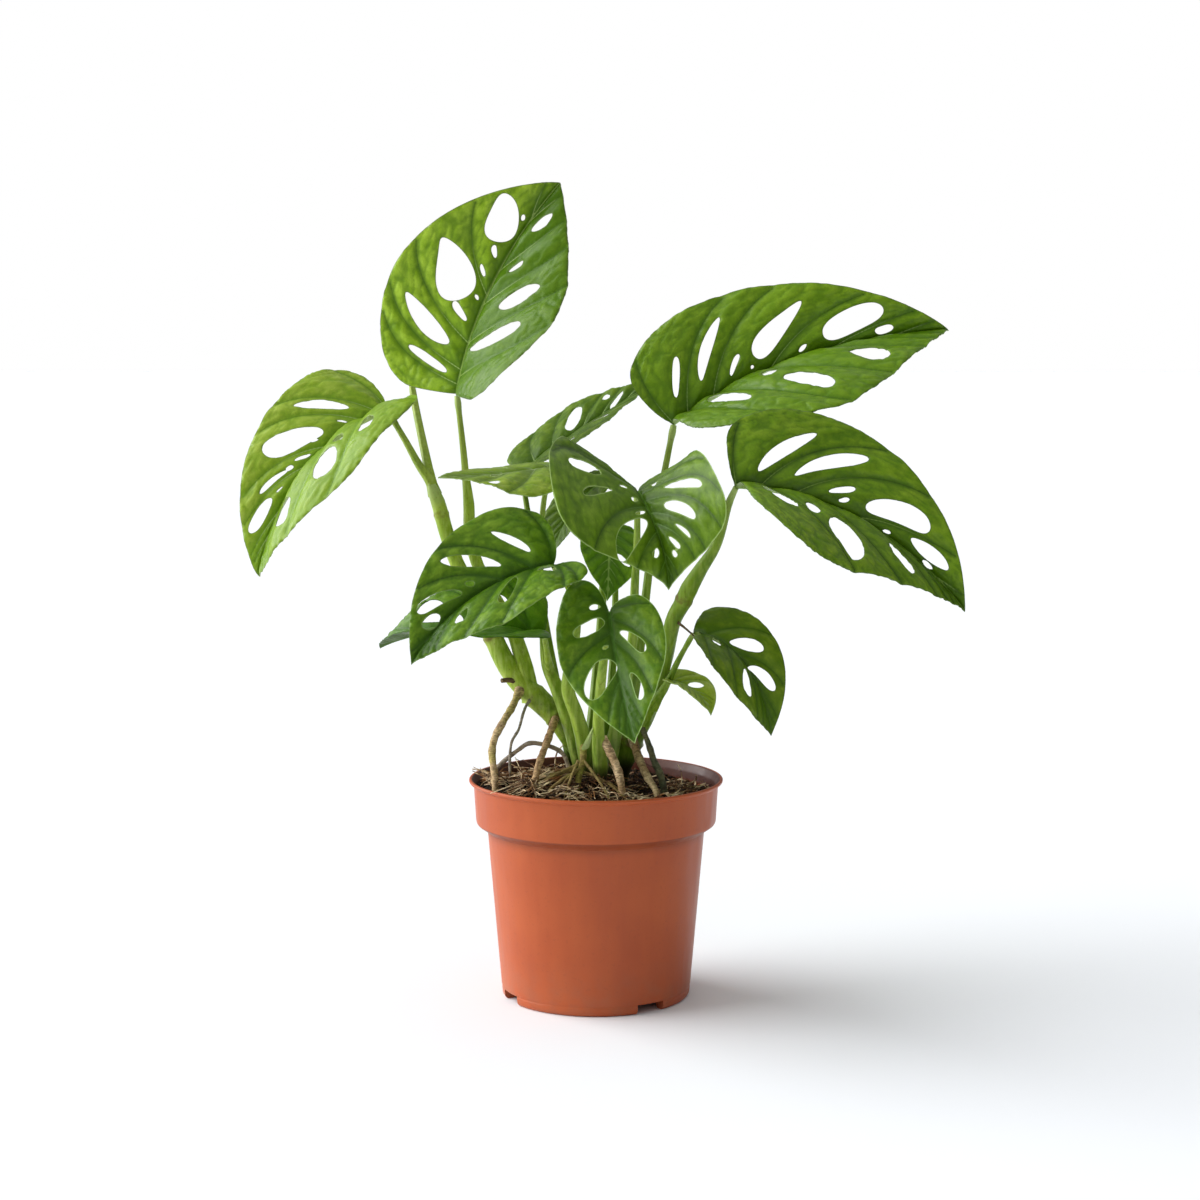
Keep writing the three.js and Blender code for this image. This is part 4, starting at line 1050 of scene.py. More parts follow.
corners = []
for x, y, z, reach in BRACT:
    corners += [(x - reach, y, z), (x, y - BRACT_THICKNESS, z)]
    corners += [(x + reach, y, z), (x, y + BRACT_THICKNESS, z)]
bract = mesh_object("bract", corners, tube_faces(len(BRACT), 4))
bract.data.set_sharp_from_angle(angle=math.radians(40))
set_attribute(bract, "place_along", [0.5] * len(corners))
set_attribute(bract, "joint_gap", [FAR] * len(corners))
bract.data.materials.append(stem_skin("bract_skin", "#8fa850", "#adc070", "#ccd8a0"))
put_in_place(bract, "green_stem")


# ---------------------------------------------------------------- aerial roots
# Tough cord-like roots, tan and corky and a little knotted. Seven spring from the canes and go
# down into the mix, and the last comes up out of the mix and arches back into it.

# Stations run from where a root starts to where it ends in the mix: x, y, z and radius.
ROOTS = [
    [
        [-36, 3, 145, 1.9], [-39, -6, 139, 1.6], [-43, -14, 133, 1.6], [-47, -20, 126, 1.6],
        [-48, -24, 120, 1.6], [-47, -27, 111, 1.5], [-46, -28, 94, 1.4],
    ],
    [
        [-31, 2, 141, 0.8], [-34, -7, 136, 0.7], [-36, -12, 129, 0.7], [-39, -16, 124, 0.7],
        [-40, -18, 117, 0.7], [-39, -20, 96, 0.7],
    ],
    [
        [-19, 3, 132, 1.7], [-21, -12, 128, 1.6], [-24, -23, 121, 1.5], [-27, -30, 113, 1.4],
        [-30, -34, 94, 1.4],
    ],
    [
        [-6, -16, 124, 1.7], [-6, -25, 116, 1.5], [-8, -29, 109, 1.4], [-9, -32, 93, 1.2],
    ],
    [
        [3, -25, 127, 1.8], [8, -30, 118, 1.8], [11, -34, 110, 1.7], [13, -38, 92, 1.5],
    ],
    [
        [17, -4, 124, 1.9], [20, -18, 116, 1.8], [24, -29, 109, 1.6], [28, -36, 103, 1.3],
        [31, -40, 92, 1.1],
    ],
    [
        [21, -5, 130, 1.4], [25, -13, 121, 1.6], [27, -19, 115, 1.8], [30, -24, 109, 1.9],
        [33, -29, 92, 1.9],
    ],
    [
        [-49, -14, 93, 1], [-46, -16, 111, 1], [-41, -17, 116, 1], [-36, -17, 120, 1],
        [-31, -17, 123, 1], [-23, -17, 122, 1], [-16, -19, 119, 1], [-13, -23, 114, 1],
        [-12, -26, 93, 1],
    ],
]
ROOT_SIDES = 14
ROOT_STEP = 1.0
# For each root: how much stouter it is than its stations say, its two colours and its stain.
ROOT_LOOKS = [
    (1.06, "#dcbe92", "#bcae62", "#64482b"),
    (0.95, "#9a8e80", "#b4a894", "#655a50"),
    (1.12, "#d0ae80", "#a8845a", "#553a22"),
    (1.02, "#92963c", "#b09858", "#5d4e22"),
    (1.10, "#ecd0a4", "#b0885a", "#4e331d"),
    (1.12, "#cab488", "#987850", "#4c3a20"),
    (0.88, "#5a5f44", "#766c4a", "#34301f"),
    (1.05, "#968a7a", "#a8967a", "#55493c"),
]
ROOT_WOBBLE, ROOT_WOBBLE_SIZE = 0.6, 7.0
COLLAR_SWELL = 0.22  # how much thicker a root is at its start


def root_bark(name, main, other, stain):
    """Dull corky bark: two tones along the root, with darker rings and mottles."""
    material, tree, shader = new_material(name, Roughness=0.78, Specular_IOR_Level=0.3)
    place = object_place(tree)
    rings = patch_mask(tree, stretched(tree, place, (1, 1, 3)), 0.0016, 3.0, 0.45, 0.1)
    colour = coated(
        tree,
        mixed(tree, patch_mask(tree, place, 0.008, 3.0, 0.5, 0.2), paint(main), paint(other)),
        (rings, 0.5, stain),
        (patch_mask(tree, place, 0.0026, 3.0, 0.35, 0.07), 0.55, stain),
    )
    finish(tree, shader, colour, rings, 0.45, 0.0003)
    return material


for number, (stations, (swell, *tones)) in enumerate(zip(ROOTS, ROOT_LOOKS), 1):
    path = smooth_path(stations, ROOT_STEP)
    run = np.arange(len(path))
    knots = 1 + 0.07 * np.sin(run * 0.5 + number) + 0.05 * np.sin(run * 1.3 + 2 * number)
    knots += COLLAR_SWELL * np.exp(-((run / 2.5) ** 2))
    bark = root_bark(f"root_bark_{number}", *tones)
    lines = [(path[:, :3], path[:, 3] * swell * knots)]
    root = strands_along(f"corky_root_{number}", lines, ROOT_SIDES, ROOT_WOBBLE, ROOT_WOBBLE_SIZE, bark)
    put_in_place(root, "root_bark", f"aerial_root_{number}")


# ---------------------------------------------------------------- rootlets, hairs and stubs
# Thin young roots that fan out from the crown of the front vine and dive into the mix, short
# pale hairs beside them, and two dry stubs left on the canes.

CROWN = (-8, -25, 115)
ROOTLET_ENDS = [
    (-40, -30), (-36, -36), (-30, -28), (-27, -40), (-20, -38), (-15, -43), (8, -44), (17, -41), (23, -36),
]
HAIR_PLACES = [(17, -42), (21, -41), (24, -40), (33, -37), (37, -35), (40, -33), (-12, -42), (-26, -36)]
HAIRS_EACH = 3
HAIR_RADII = [0.42, 0.4, 0.38, 0.36, 0.33, 0.3, 0.22]
HAIR_STEP = 1.3
STUBS = [
    [[-38, 4, 149, 1.3], [-41, 2, 150, 1.2], [-44.5, 0, 150, 1.1]],
    [[38, -20, 180, 0.7], [42, -23, 177, 0.5], [45, -25, 174.5, 0.35]],
]


def rootlet_lines(seed):
    pick = random.Random(seed)
    lines = []
    for end_x, end_y in ROOTLET_ENDS:
        start = np.array(CROWN) + [pick.uniform(-3, 3), pick.uniform(-2, 1), pick.uniform(-4, 2)]
        end = np.array([end_x, end_y, soil_surface(end_x, end_y) - 1.5])
        knee = start + (end - start) * pick.uniform(0.4, 0.6) + [0, 0, pick.uniform(0, 3)]
        path = smooth_path([[*start, 0.9], [*knee, 0.75], [*end, 0.5]], 1.5)
        lines.append((path[:, :3], path[:, 3] * pick.uniform(0.7, 1.1)))
    return lines


def hair_lines(seed):
    pick = random.Random(seed)
    lines = []
    for x, y in [place for place in HAIR_PLACES for _ in range(HAIRS_EACH)]:
        a, b, heading = x + pick.uniform(-2, 2), y + pick.uniform(-1.5, 1.5), pick.uniform(0, FULL_TURN)
        points = []
        for k in range(len(HAIR_RADII)):
            points.append((a, b, soil_surface(a, b) + 1.2 + 1.4 * math.sin(k / 2)))
            heading += pick.uniform(-0.5, 0.6)
            a, b = a + HAIR_STEP * math.cos(heading), b + HAIR_STEP * math.sin(heading)
        if max(math.hypot(px, py) for px, py, _ in points) < SOIL_RADIUS - 1:
            lines.append((points, HAIR_RADII))
    return lines


young_bark = root_bark("young_bark", "#8f8444", "#a88f5c", "#5a4526")
stub_bark = root_bark("stub_bark", "#7a6440", "#54432a", "#2e2416")
pale_hair = root_bark("pale_hair", "#d8cba8", "#c2ac80", "#8a6a44")
stub_paths = [smooth_path(stations, ROOT_STEP) for stations in STUBS]
stub_lines = [(path[:, :3], path[:, 3]) for path in stub_paths]
rootlets = strands_along("crown_rootlets", rootlet_lines(4), 8, 0.6, 4.0, young_bark)
hairs = strands_along("root_hairs", hair_lines(9), 6, 0.3, 2.0, pale_hair)
stubs = strands_along("root_stubs", stub_lines, 10, 0.3, 2.0, stub_bark)
for piece in (rootlets, hairs, stubs):
    put_in_place(piece, "root_bark")


# ---------------------------------------------------------------- leaves
# Fourteen living blades, each one thin satin sheet pierced between its side veins. The sheet
# is sunk along the veins and puffed up between them, and is paler underneath.

# A leaf lies flat in (u, v): u runs along the midrib from the stalk's joint at 0 to the tip at
# `length`, v across it. Pairs are for the left half, which has v above 0 seen from the upper
# face with the tip ahead, and the right half.
#   joint       where the blade meets its stalk
#   heading     compass direction of the midrib at the joint, 0 towards +X
#   climb       how far the midrib rises there; roll: turn about the midrib
#   half_width  widest reach of each half; widest: where along the length that is
#   lobe        how far each half runs back behind the joint; point: bluntness of the tip
#   arch        how far the midrib bends down by the tip; sweep: how far it bends left
#   twist       turn about the midrib by the tip
#   fold        how far each half stands up from the midrib; curl: how much more at its edge
#   lean        how far each half's holes turn from the direction of the veins
#   holes       [place along the length, reach across the half, hole length, hole width], and
#               where it differs from EGG, how much fuller the outer end is
LEAVES = [
    dict(
        name="leaf_top_left", joint=(-66, 25, 284), heading=5, climb=79, roll=36,
        length=112, half_width=(49, 51), widest=(0.30, 0.42), lobe=(0.01, 0.01), point=0.02,
        arch=22, sweep=-22, twist=43, fold=(20, 24), curl=(0, -12), lean=(4, -4),
        left_holes=[
            [0.11, 0.43, 24, 4], [0.25, 0.50, 32, 8, -0.1], [0.33, 0.19, 11, 3.5],
            [0.41, 0.09, 3, 1.5], [0.47, 0.46, 29, 17, -0.35], [0.52, 0.17, 6, 2],
            [0.61, 0.17, 6, 2.5], [0.74, 0.43, 22, 15, -0.3], [0.79, 0.16, 3, 2],
        ],
        right_holes=[
            [0.28, 0.44, 35, 8], [0.49, 0.46, 24, 8], [0.60, 0.23, 9, 3], [0.82, 0.30, 13, 4.5],
        ],
    ),
    dict(
        name="leaf_far_left", joint=(-100, 30, 276), heading=218, climb=-15, roll=-6,
        length=108, half_width=(45, 39), widest=(0.42, 0.14), lobe=(0.03, 0.04), point=0.02,
        arch=67, sweep=0, twist=-10, fold=(33, 35), curl=(-43, -14), lean=(-16, -13),
        left_holes=[
            [0.24, 0.62, 13, 7], [0.34, 0.41, 5, 5], [0.47, 0.54, 18, 13], [0.71, 0.39, 14, 10],
        ],
        right_holes=[
            [0.21, 0.13, 5, 1.5], [0.21, 0.50, 25, 5.5], [0.36, 0.18, 4, 1.5],
            [0.41, 0.43, 28, 11, 0.3], [0.45, 0.15, 8, 2], [0.52, 0.22, 4, 2],
            [0.60, 0.38, 16, 2.5], [0.62, 0.19, 4, 1], [0.75, 0.43, 18, 6],
        ],
    ),
    dict(
        name="leaf_upper_right", joint=(37, 28, 270), heading=14, climb=34, roll=45,
        length=144, half_width=(45, 64), widest=(0.22, 0.43), lobe=(0.04, 0.01), point=0.02,
        arch=15, sweep=-30, twist=16, fold=(30, 52), curl=(-28, -35), lean=(-14, 0),
        left_holes=[
            [0.09, 0.42, 20, 3.5], [0.22, 0.49, 32, 5], [0.27, 0.20, 11, 2.5],
            [0.32, 0.10, 2, 1.5], [0.44, 0.43, 34, 9, -0.45], [0.50, 0.11, 5, 2],
            [0.68, 0.40, 31, 12, -0.2], [0.78, 0.18, 9, 4],
        ],
        right_holes=[
            [0.17, 0.41, 30, 8], [0.34, 0.27, 7, 7], [0.43, 0.60, 27, 11], [0.68, 0.52, 20, 11],
        ],
    ),
    dict(
        name="leaf_right", joint=(63, -45, 245), heading=14, climb=-4, roll=40,
        length=123, half_width=(41, 57), widest=(0.24, 0.29), lobe=(0.03, 0.01), point=0.05,
        arch=19, sweep=-55, twist=21, fold=(30, 40), curl=(-16, -35), lean=(-19, -12),
        left_holes=[
            [0.16, 0.49, 32, 5.5], [0.31, 0.47, 33, 6], [0.38, 0.23, 12, 3], [0.40, 0.13, 5, 2],
            [0.59, 0.39, 29, 10], [0.59, 0.06, 4, 1.5], [0.76, 0.32, 21, 6], [0.78, 0.08, 6, 2],
        ],
        right_holes=[
            [0.13, 0.36, 24, 12], [0.27, 0.36, 9, 5], [0.44, 0.61, 27, 15], [0.69, 0.44, 19, 7],
        ],
    ),
    dict(
        name="leaf_high_middle", joint=(-36, 44, 246), heading=9, climb=35, roll=15,
        length=78, half_width=(28, 29), widest=(0.36, 0.35), lobe=(0.03, 0.07), point=0.05,
        arch=2, sweep=-4, twist=6, fold=(8, 18), curl=(-11, -6), lean=(10, 0),
        left_holes=[[0.46, 0.41, 18, 8], [0.70, 0.61, 4, 4], [0.74, 0.24, 12, 3.5]],
        right_holes=[[0.30, 0.45, 17, 5], [0.58, 0.42, 15, 5]],
    ),
    dict(
        name="leaf_centre", joint=(19, -22, 241), heading=-86, climb=-3, roll=-3,
        length=63, half_width=(37, 52), widest=(0.60, 0.46), lobe=(0.11, 0.15), point=0.21,
        arch=88, sweep=52, twist=51, fold=(31, 33), curl=(8, -2), lean=(5, 20),
        left_holes=[
            [0.14, 0.26, 3, 3], [0.37, 0.57, 21, 4], [0.51, 0.40, 17, 5], [0.64, 0.34, 9, 1.5],
            [0.69, 0.20, 7, 2], [0.76, 0.22, 3, 2.5],
        ],
        right_holes=[
            [0.16, 0.63, 17, 6], [0.20, 0.22, 4, 2], [0.30, 0.13, 4, 2], [0.32, 0.53, 18, 3],
            [0.42, 0.12, 7, 2], [0.60, 0.36, 27, 9], [0.73, 0.18, 5, 3],
        ],
    ),
    dict(
        name="leaf_left", joint=(-19, -50, 210), heading=195, climb=-9, roll=-33,
        length=83, half_width=(30, 34), widest=(0.39, 0.18), lobe=(0.14, 0.05), point=0.08,
        arch=24, sweep=43, twist=-7, fold=(23, 23), curl=(-17, -8), lean=(-16, -11),
        left_holes=[[0.055, 0.25, 7, 8.5], [0.33, 0.40, 20, 5.5], [0.63, 0.32, 10, 4.5]],
        right_holes=[
            [0.16, 0.47, 19, 3.5], [0.38, 0.47, 25, 5.5], [0.46, 0.20, 4, 3], [0.64, 0.41, 21, 6],
            [0.75, 0.26, 9.5, 5.5],
        ],
    ),
    dict(
        name="leaf_front", joint=(6, -55, 189), heading=-83, climb=-45, roll=17,
        length=68, half_width=(24, 25), widest=(0.31, 0.28), lobe=(0.07, 0.28), point=0.05,
        arch=14, sweep=6, twist=3, fold=(11, 10), curl=(-12, -13), lean=(-23, -2),
        left_holes=[[0.29, 0.40, 17, 5], [0.63, 0.42, 14, 4]],
        right_holes=[
            [-0.04, 0.27, 5, 3.5], [0.12, 0.40, 15, 7], [0.29, 0.15, 3, 1.5], [0.51, 0.41, 21, 11],
        ],
    ),
    dict(
        name="leaf_low_right", joint=(45, -20, 176), heading=-28, climb=-7, roll=17,
        length=67, half_width=(21, 26), widest=(0.25, 0.38), lobe=(0.01, -0.12), point=0.09,
        arch=70, sweep=-46, twist=1, fold=(20, 23), curl=(-3, -4), lean=(-13, -12),
        left_holes=[[0.36, 0.34, 15, 6], [0.60, 0.26, 16, 5]],
        right_holes=[[0.24, 0.28, 9, 4], [0.61, 0.37, 14, 5]],
    ),
    dict(
        name="leaf_young", joint=(34, -15, 152), heading=-16, climb=-5, roll=12,
        length=29, half_width=(11, 10), widest=(0.34, 0.33), lobe=(0.06, 0.07), point=0.08,
        arch=40, sweep=-52, twist=-5, fold=(19, 19), curl=(-5, -5), lean=(-7, 0),
        left_holes=[[0.40, 0.30, 7, 3.5]],
    ),
    dict(
        name="leaf_hanging", joint=(7, 28, 220), heading=-94, climb=-44, roll=-20,
        length=43, half_width=(16, 15), widest=(0.34, 0.33), lobe=(0.07, 0.07), point=0.13,
        arch=8, sweep=4, twist=0, fold=(8, 8), curl=(-9, -8), lean=(0, 0),
        left_holes=[[0.45, 0.45, 9, 3]],
    ),
    dict(
        name="leaf_low_left", joint=(-24, -15, 174), heading=192, climb=11, roll=-31,
        length=84, half_width=(30, 30), widest=(0.30, 0.28), lobe=(0.0, 0.01), point=0.02,
        arch=53, sweep=-30, twist=-2, fold=(35, 27), curl=(-15, -12), lean=(0, 0),
        left_holes=[[0.46, 0.40, 15, 4]],
        right_holes=[[0.25, 0.46, 9, 5], [0.49, 0.19, 7, 4.5], [0.64, 0.47, 18, 12]],
    ),
    dict(
        name="leaf_level", joint=(-22, 5, 250), heading=208, climb=-7, roll=-6,
        length=65, half_width=(26, 22), widest=(0.39, 0.33), lobe=(0.05, 0.07), point=0.16,
        arch=-13, sweep=23, twist=-2, fold=(1, 4), curl=(-36, -22), lean=(-18, 0),
        left_holes=[[0.48, 0.12, 11, 2], [0.62, 0.62, 7, 4]],
        right_holes=[[0.35, 0.45, 12, 4]],
    ),
    dict(
        name="leaf_behind_centre", joint=(3, 42, 241), heading=193, climb=-35, roll=-15,
        length=44, half_width=(16, 17), widest=(0.34, 0.40), lobe=(0.07, 0.07), point=0.06,
        arch=21, sweep=39, twist=-4, fold=(10, 12), curl=(-9, -9), lean=(0, 0),
        left_holes=[[0.45, 0.45, 9, 3]],
    ),
]

BLADE_THICKNESS = 0.5
THIN_EDGE, THICK_FROM = 0.55, 1.5  # the share of that at an edge, and how far in it is full
VEIN_ANGLE = 78  # degrees between the midrib and the side veins at the leaf's base
VEIN_TURN = 75  # how much that angle has closed by the tip
LEAST_ANGLE = 14  # the least that it closes to
EGG = 0.12  # how much fuller a hole's outer end is, where the hole gives no share of its own
UNEVEN = 0.10  # how far a hole's outline strays from an oval
LINE_STEP = 1.1  # spacing of the points along a leaf's edges and veins
GRID_STEP = 1.0  # spacing of the points between them
SMALL_GRID_STEP = 0.8
SMALL_LEAF = 50  # length below which the small step is used
VEIN_REACH = 0.86  # the share of the length along which side veins leave the midrib
VEINS_A_HALF = 8  # side veins there would be in a half without holes
LOBE_VEINS = ((100, 40, 0.9), (128, 70, 0.8), (158, 60, 0.5))  # start, bend and reach of each
VEIN_CLEAR = 0.8  # how far a side vein keeps from a hole
FULL_SIZE = 120  # the length of leaf for which the reliefs below are given
CREASE, CREASE_SPREAD = 0.6, 1.5  # how deep a side vein is sunk, and how wide
PLEAT, PLEAT_SPREAD = 2.4, 5.5  # how high the sheet stands between two side veins
PUCKER = 0.50  # how high the small puckers between the finest veins stand
PUCKER_WIDTH, PUCKER_LENGTH = 5.2, 8.5
WAVE, WAVE_SPREAD = 1.3, 0.20  # how far the margin waves up and down, and each wave's share
ROLL, ROLL_SPREAD = 0.35, 0.9  # how far edges and rims are rolled under
MIDRIB_GROOVE, GROOVE_SPREAD = 0.35, 0.8


def bezier(start, pull_start, pull_end, end, count=30):
    share = np.linspace(0, 1, count)[:, None]
    a, b, c, d = (np.array(point, float) for point in (start, pull_start, pull_end, end))
    rest = 1 - share
    return rest**3 * a + 3 * rest**2 * share * b + 3 * rest * share**2 * c + share**3 * d


def evenly(points, step):
    """The same line with its points about `step` apart and its ends kept."""
    run = np.r_[0, np.cumsum(np.linalg.norm(np.diff(points, axis=0), axis=1))]
    at = np.linspace(0, run[-1], max(2, round(run[-1] / step) + 1))
    return np.stack([np.interp(at, run, points[:, 0]), np.interp(at, run, points[:, 1])], 1)


def half_outline(leaf, half):
    """One half's edge, all with v above 0: round the lobe, over the crown and in to the tip."""
    length, width, point = leaf["length"], leaf["half_width"][half], leaf["point"]
    crown, back = leaf["widest"][half] * length, -leaf["lobe"][half] * length
    lobe = bezier((0, 0), (0.55 * back, 0.06 * width), (back, 0.22 * width), (back, 0.48 * width))
    flank = bezier((back, 0.48 * width), (back, 0.8 * width), ((crown + back) / 2, width), (crown, width))
    shoulder_pull = (crown + 0.42 * (length - crown), width)
    tip_pull = ((1 - point) * length, (0.1 + 0.35 * point) * width)
    shoulder = bezier((crown, width), shoulder_pull, tip_pull, (length, 0))
    return evenly(np.vstack([lobe, flank[1:], shoulder[1:]]), LINE_STEP)


def margin_at(outline, u):
    """Distance from the midrib to the edge at u, on the outer side of the lobe."""
    outer = outline[np.argmin(outline[:, 0]) :]
    return np.interp(u, outer[:, 0], outer[:, 1])


def hole_outline(leaf, half, outline, hole):
    """A slightly uneven oval along the side vein through its middle, bent as the vein is."""
    place, reach, hole_length, hole_width = hole[:4]
    egg = hole[4] if len(hole) > 4 else EGG
    angle = math.radians(VEIN_ANGLE - VEIN_TURN * place + leaf["lean"][half])
    along = np.array([math.cos(angle), math.sin(angle)])
    across = np.array([-along[1], along[0]])
    bend = -math.radians(VEIN_TURN) / leaf["length"] * math.cos(angle)
    middle = np.array([place * leaf["length"], reach * margin_at(outline, place * leaf["length"])])
    turns = np.linspace(0, 2 * math.pi, 61)
    oval = np.sin(turns) * (1 + egg * np.cos(turns))
    stray = UNEVEN * (np.sin(2 * turns + 19 * place) + 0.6 * np.sin(3 * turns + 31 * reach))
    s = hole_length / 2 * np.cos(turns)
    w = hole_width / 2 * (oval + stray) + 0.5 * bend * s**2
    return evenly(middle + s[:, None] * along + w[:, None] * across, 0.8 * LINE_STEP)[:-1]


def inside(points, loop):
    """Which of the points lie inside a closed loop."""
    x, y = points[:, 0, None], points[:, 1, None]
    x0, y0 = loop[:, 0], loop[:, 1]
    x1, y1 = np.roll(x0, -1), np.roll(y0, -1)
    spans = (y0 > y) != (y1 > y)
    rise = np.where(y1 == y0, 1e-9, y1 - y0)
    return (np.sum(spans & (x < (x1 - x0) * (y - y0) / rise + x0), axis=1) % 2) == 1


def vein_heading(leaf, half, outline, spots):
    """Which way a side vein runs at each spot, as the angle to the midrib in radians."""
    share = np.clip(spots[:, 1] / np.maximum(margin_at(outline, spots[:, 0]), 1e-6), 0, 1)
    angle = VEIN_ANGLE + leaf["lean"][half] - VEIN_TURN * spots[:, 0] / leaf["length"]
    return np.radians(np.maximum(angle, LEAST_ANGLE) * (1 - 0.5 * share**4))


def vein_run(leaf, half, outline, points):
    """Where the side vein through each point leaves the midrib, and how far along it the point is."""
    spots, run = points.copy(), np.zeros(len(points))
    for _ in range(int(2 * outline[:, 1].max())):
        angle = vein_heading(leaf, half, outline, spots)
        back = np.minimum(1, spots[:, 1] / np.sin(angle)) * (spots[:, 1] > 0)
        spots -= back[:, None] * np.stack([np.cos(angle), np.sin(angle)], 1)
        run += back
    return spots[:, 0], run


def side_veins(leaf, half, outline, holes):
    """Lines from the midrib out to the edge that pass between the holes."""
    length = leaf["length"]
    start_step = 0.5
    starts = np.arange(0.03 * length, VEIN_REACH * length, start_step)
    spots = np.stack([starts, np.zeros_like(starts)], 1)
    rims = np.vstack(holes) if holes else np.empty((0, 2))
    clear = np.ones(len(starts), bool)
    growing = np.ones(len(starts), bool)
    trails = [spots.copy()]
    while growing.any():
        angle = vein_heading(leaf, half, outline, spots)
        ahead = spots + np.stack([np.cos(angle), np.sin(angle)], 1)
        growing &= ahead[:, 1] < margin_at(outline, ahead[:, 0]) - 1.2
        growing &= ahead[:, 0] < 0.98 * length
        spots = np.where(growing[:, None], ahead, spots)
        trails.append(spots.copy())
        if len(rims):
            gaps = np.linalg.norm(spots[:, None] - rims[None], axis=2).min(axis=1)
            clear &= gaps > VEIN_CLEAR
    trails = np.array(trails)
    chosen = []
    bounds = np.flatnonzero(np.diff(np.r_[0, clear.astype(int), 0]))
    for first, last in zip(bounds[::2], bounds[1::2]):
        span = (last - first) * start_step
        if span < 1.2:
            continue
        count = max(1, round(span / (length / VEINS_A_HALF)))
        chosen += [first + int((k + 0.5) / count * (last - first)) for k in range(count)]
    lines = []
    for index in chosen:
        trail = trails[:, index]
        moved = np.r_[True, np.linalg.norm(np.diff(trail, axis=0), axis=1) > 1e-6]
        if moved.sum() > 4:
            lines.append(trail[moved])
    if leaf["lobe"][half] * length > 2.5:
        for start_angle, bend, reach in LOBE_VEINS:
            run = np.arange(0, reach * leaf["half_width"][half], 1.0)
            angle = np.radians(start_angle - bend * run / leaf["half_width"][half])
            line = np.cumsum(np.stack([np.cos(angle), np.sin(angle)], 1), axis=0)
            gap = np.linalg.norm(line[:, None] - np.vstack([outline, rims])[None], axis=2).min(axis=1)
            inner = inside(line, outline) & ((gap > 1.0) | (run < 3))
            line = line[: len(line) if inner.all() else int(np.argmin(inner))]
            if len(line) > 4:
                lines.append(np.vstack([[0, 0], line]))
    return lines


def nearest(points, targets, far):
    """Distance from each point to the nearest target, at most `far`."""
    if not len(targets):
        return np.full(len(points), float(far))
    tree = kdtree.KDTree(len(targets))
    for i, target in enumerate(targets):
        tree.insert((target[0], target[1], 0), i)
    tree.balance()
    return np.array([min(far, tree.find((x, y, 0))[2]) for x, y in points])


def bend_blade(leaf, uv, lift):
    """Where points of the flat leaf lie once the blade is bent and placed, in millimetres."""
    length = leaf["length"]
    share = np.linspace(0, 1, 65)
    down, side, twist = (np.radians(leaf[key]) * share for key in ("arch", "sweep", "twist"))
    along = np.stack([np.cos(down) * np.cos(side), np.cos(down) * np.sin(side), -np.sin(down)], 1)
    flat_across = np.stack([-np.sin(side), np.cos(side), 0 * side], 1)
    flat_up = np.cross(along, flat_across)
    across = flat_across * np.cos(twist)[:, None] + flat_up * np.sin(twist)[:, None]
    up = np.cross(along, across)
    step = length / (len(share) - 1)
    spine = np.vstack([np.zeros(3), np.cumsum((along[1:] + along[:-1]) / 2 * step, axis=0)])

    u, v = uv[:, 0], uv[:, 1]
    held = np.clip(u, 0, length)

    def at_u(values):
        return np.stack([np.interp(held, share * length, values[:, k]) for k in range(3)], 1)

    left = v >= 0
    fold = np.radians(np.where(left, *leaf["fold"]))
    curl = np.radians(np.where(left, *leaf["curl"])) / np.where(left, *leaf["half_width"])
    curl = np.where(np.abs(curl) < 1e-6, 1e-6, curl)
    edge = fold + curl * np.abs(v)
    out = (np.sin(edge) - np.sin(fold)) / curl * np.sign(v)
    rise = (np.cos(fold) - np.cos(edge)) / curl
    slope = np.where(np.abs(v) < 0.8, 0, edge * np.sign(v))
    local = at_u(spine) + at_u(along) * (u - held)[:, None]
    local += at_u(across) * (out - lift * np.sin(slope))[:, None]
    local += at_u(up) * (rise + lift * np.cos(slope))[:, None]
    stance = Euler([math.radians(a) for a in (leaf["roll"], -leaf["climb"], leaf["heading"])], "XYZ")
    return local @ np.array(stance.to_matrix()).T + np.array(leaf["joint"])


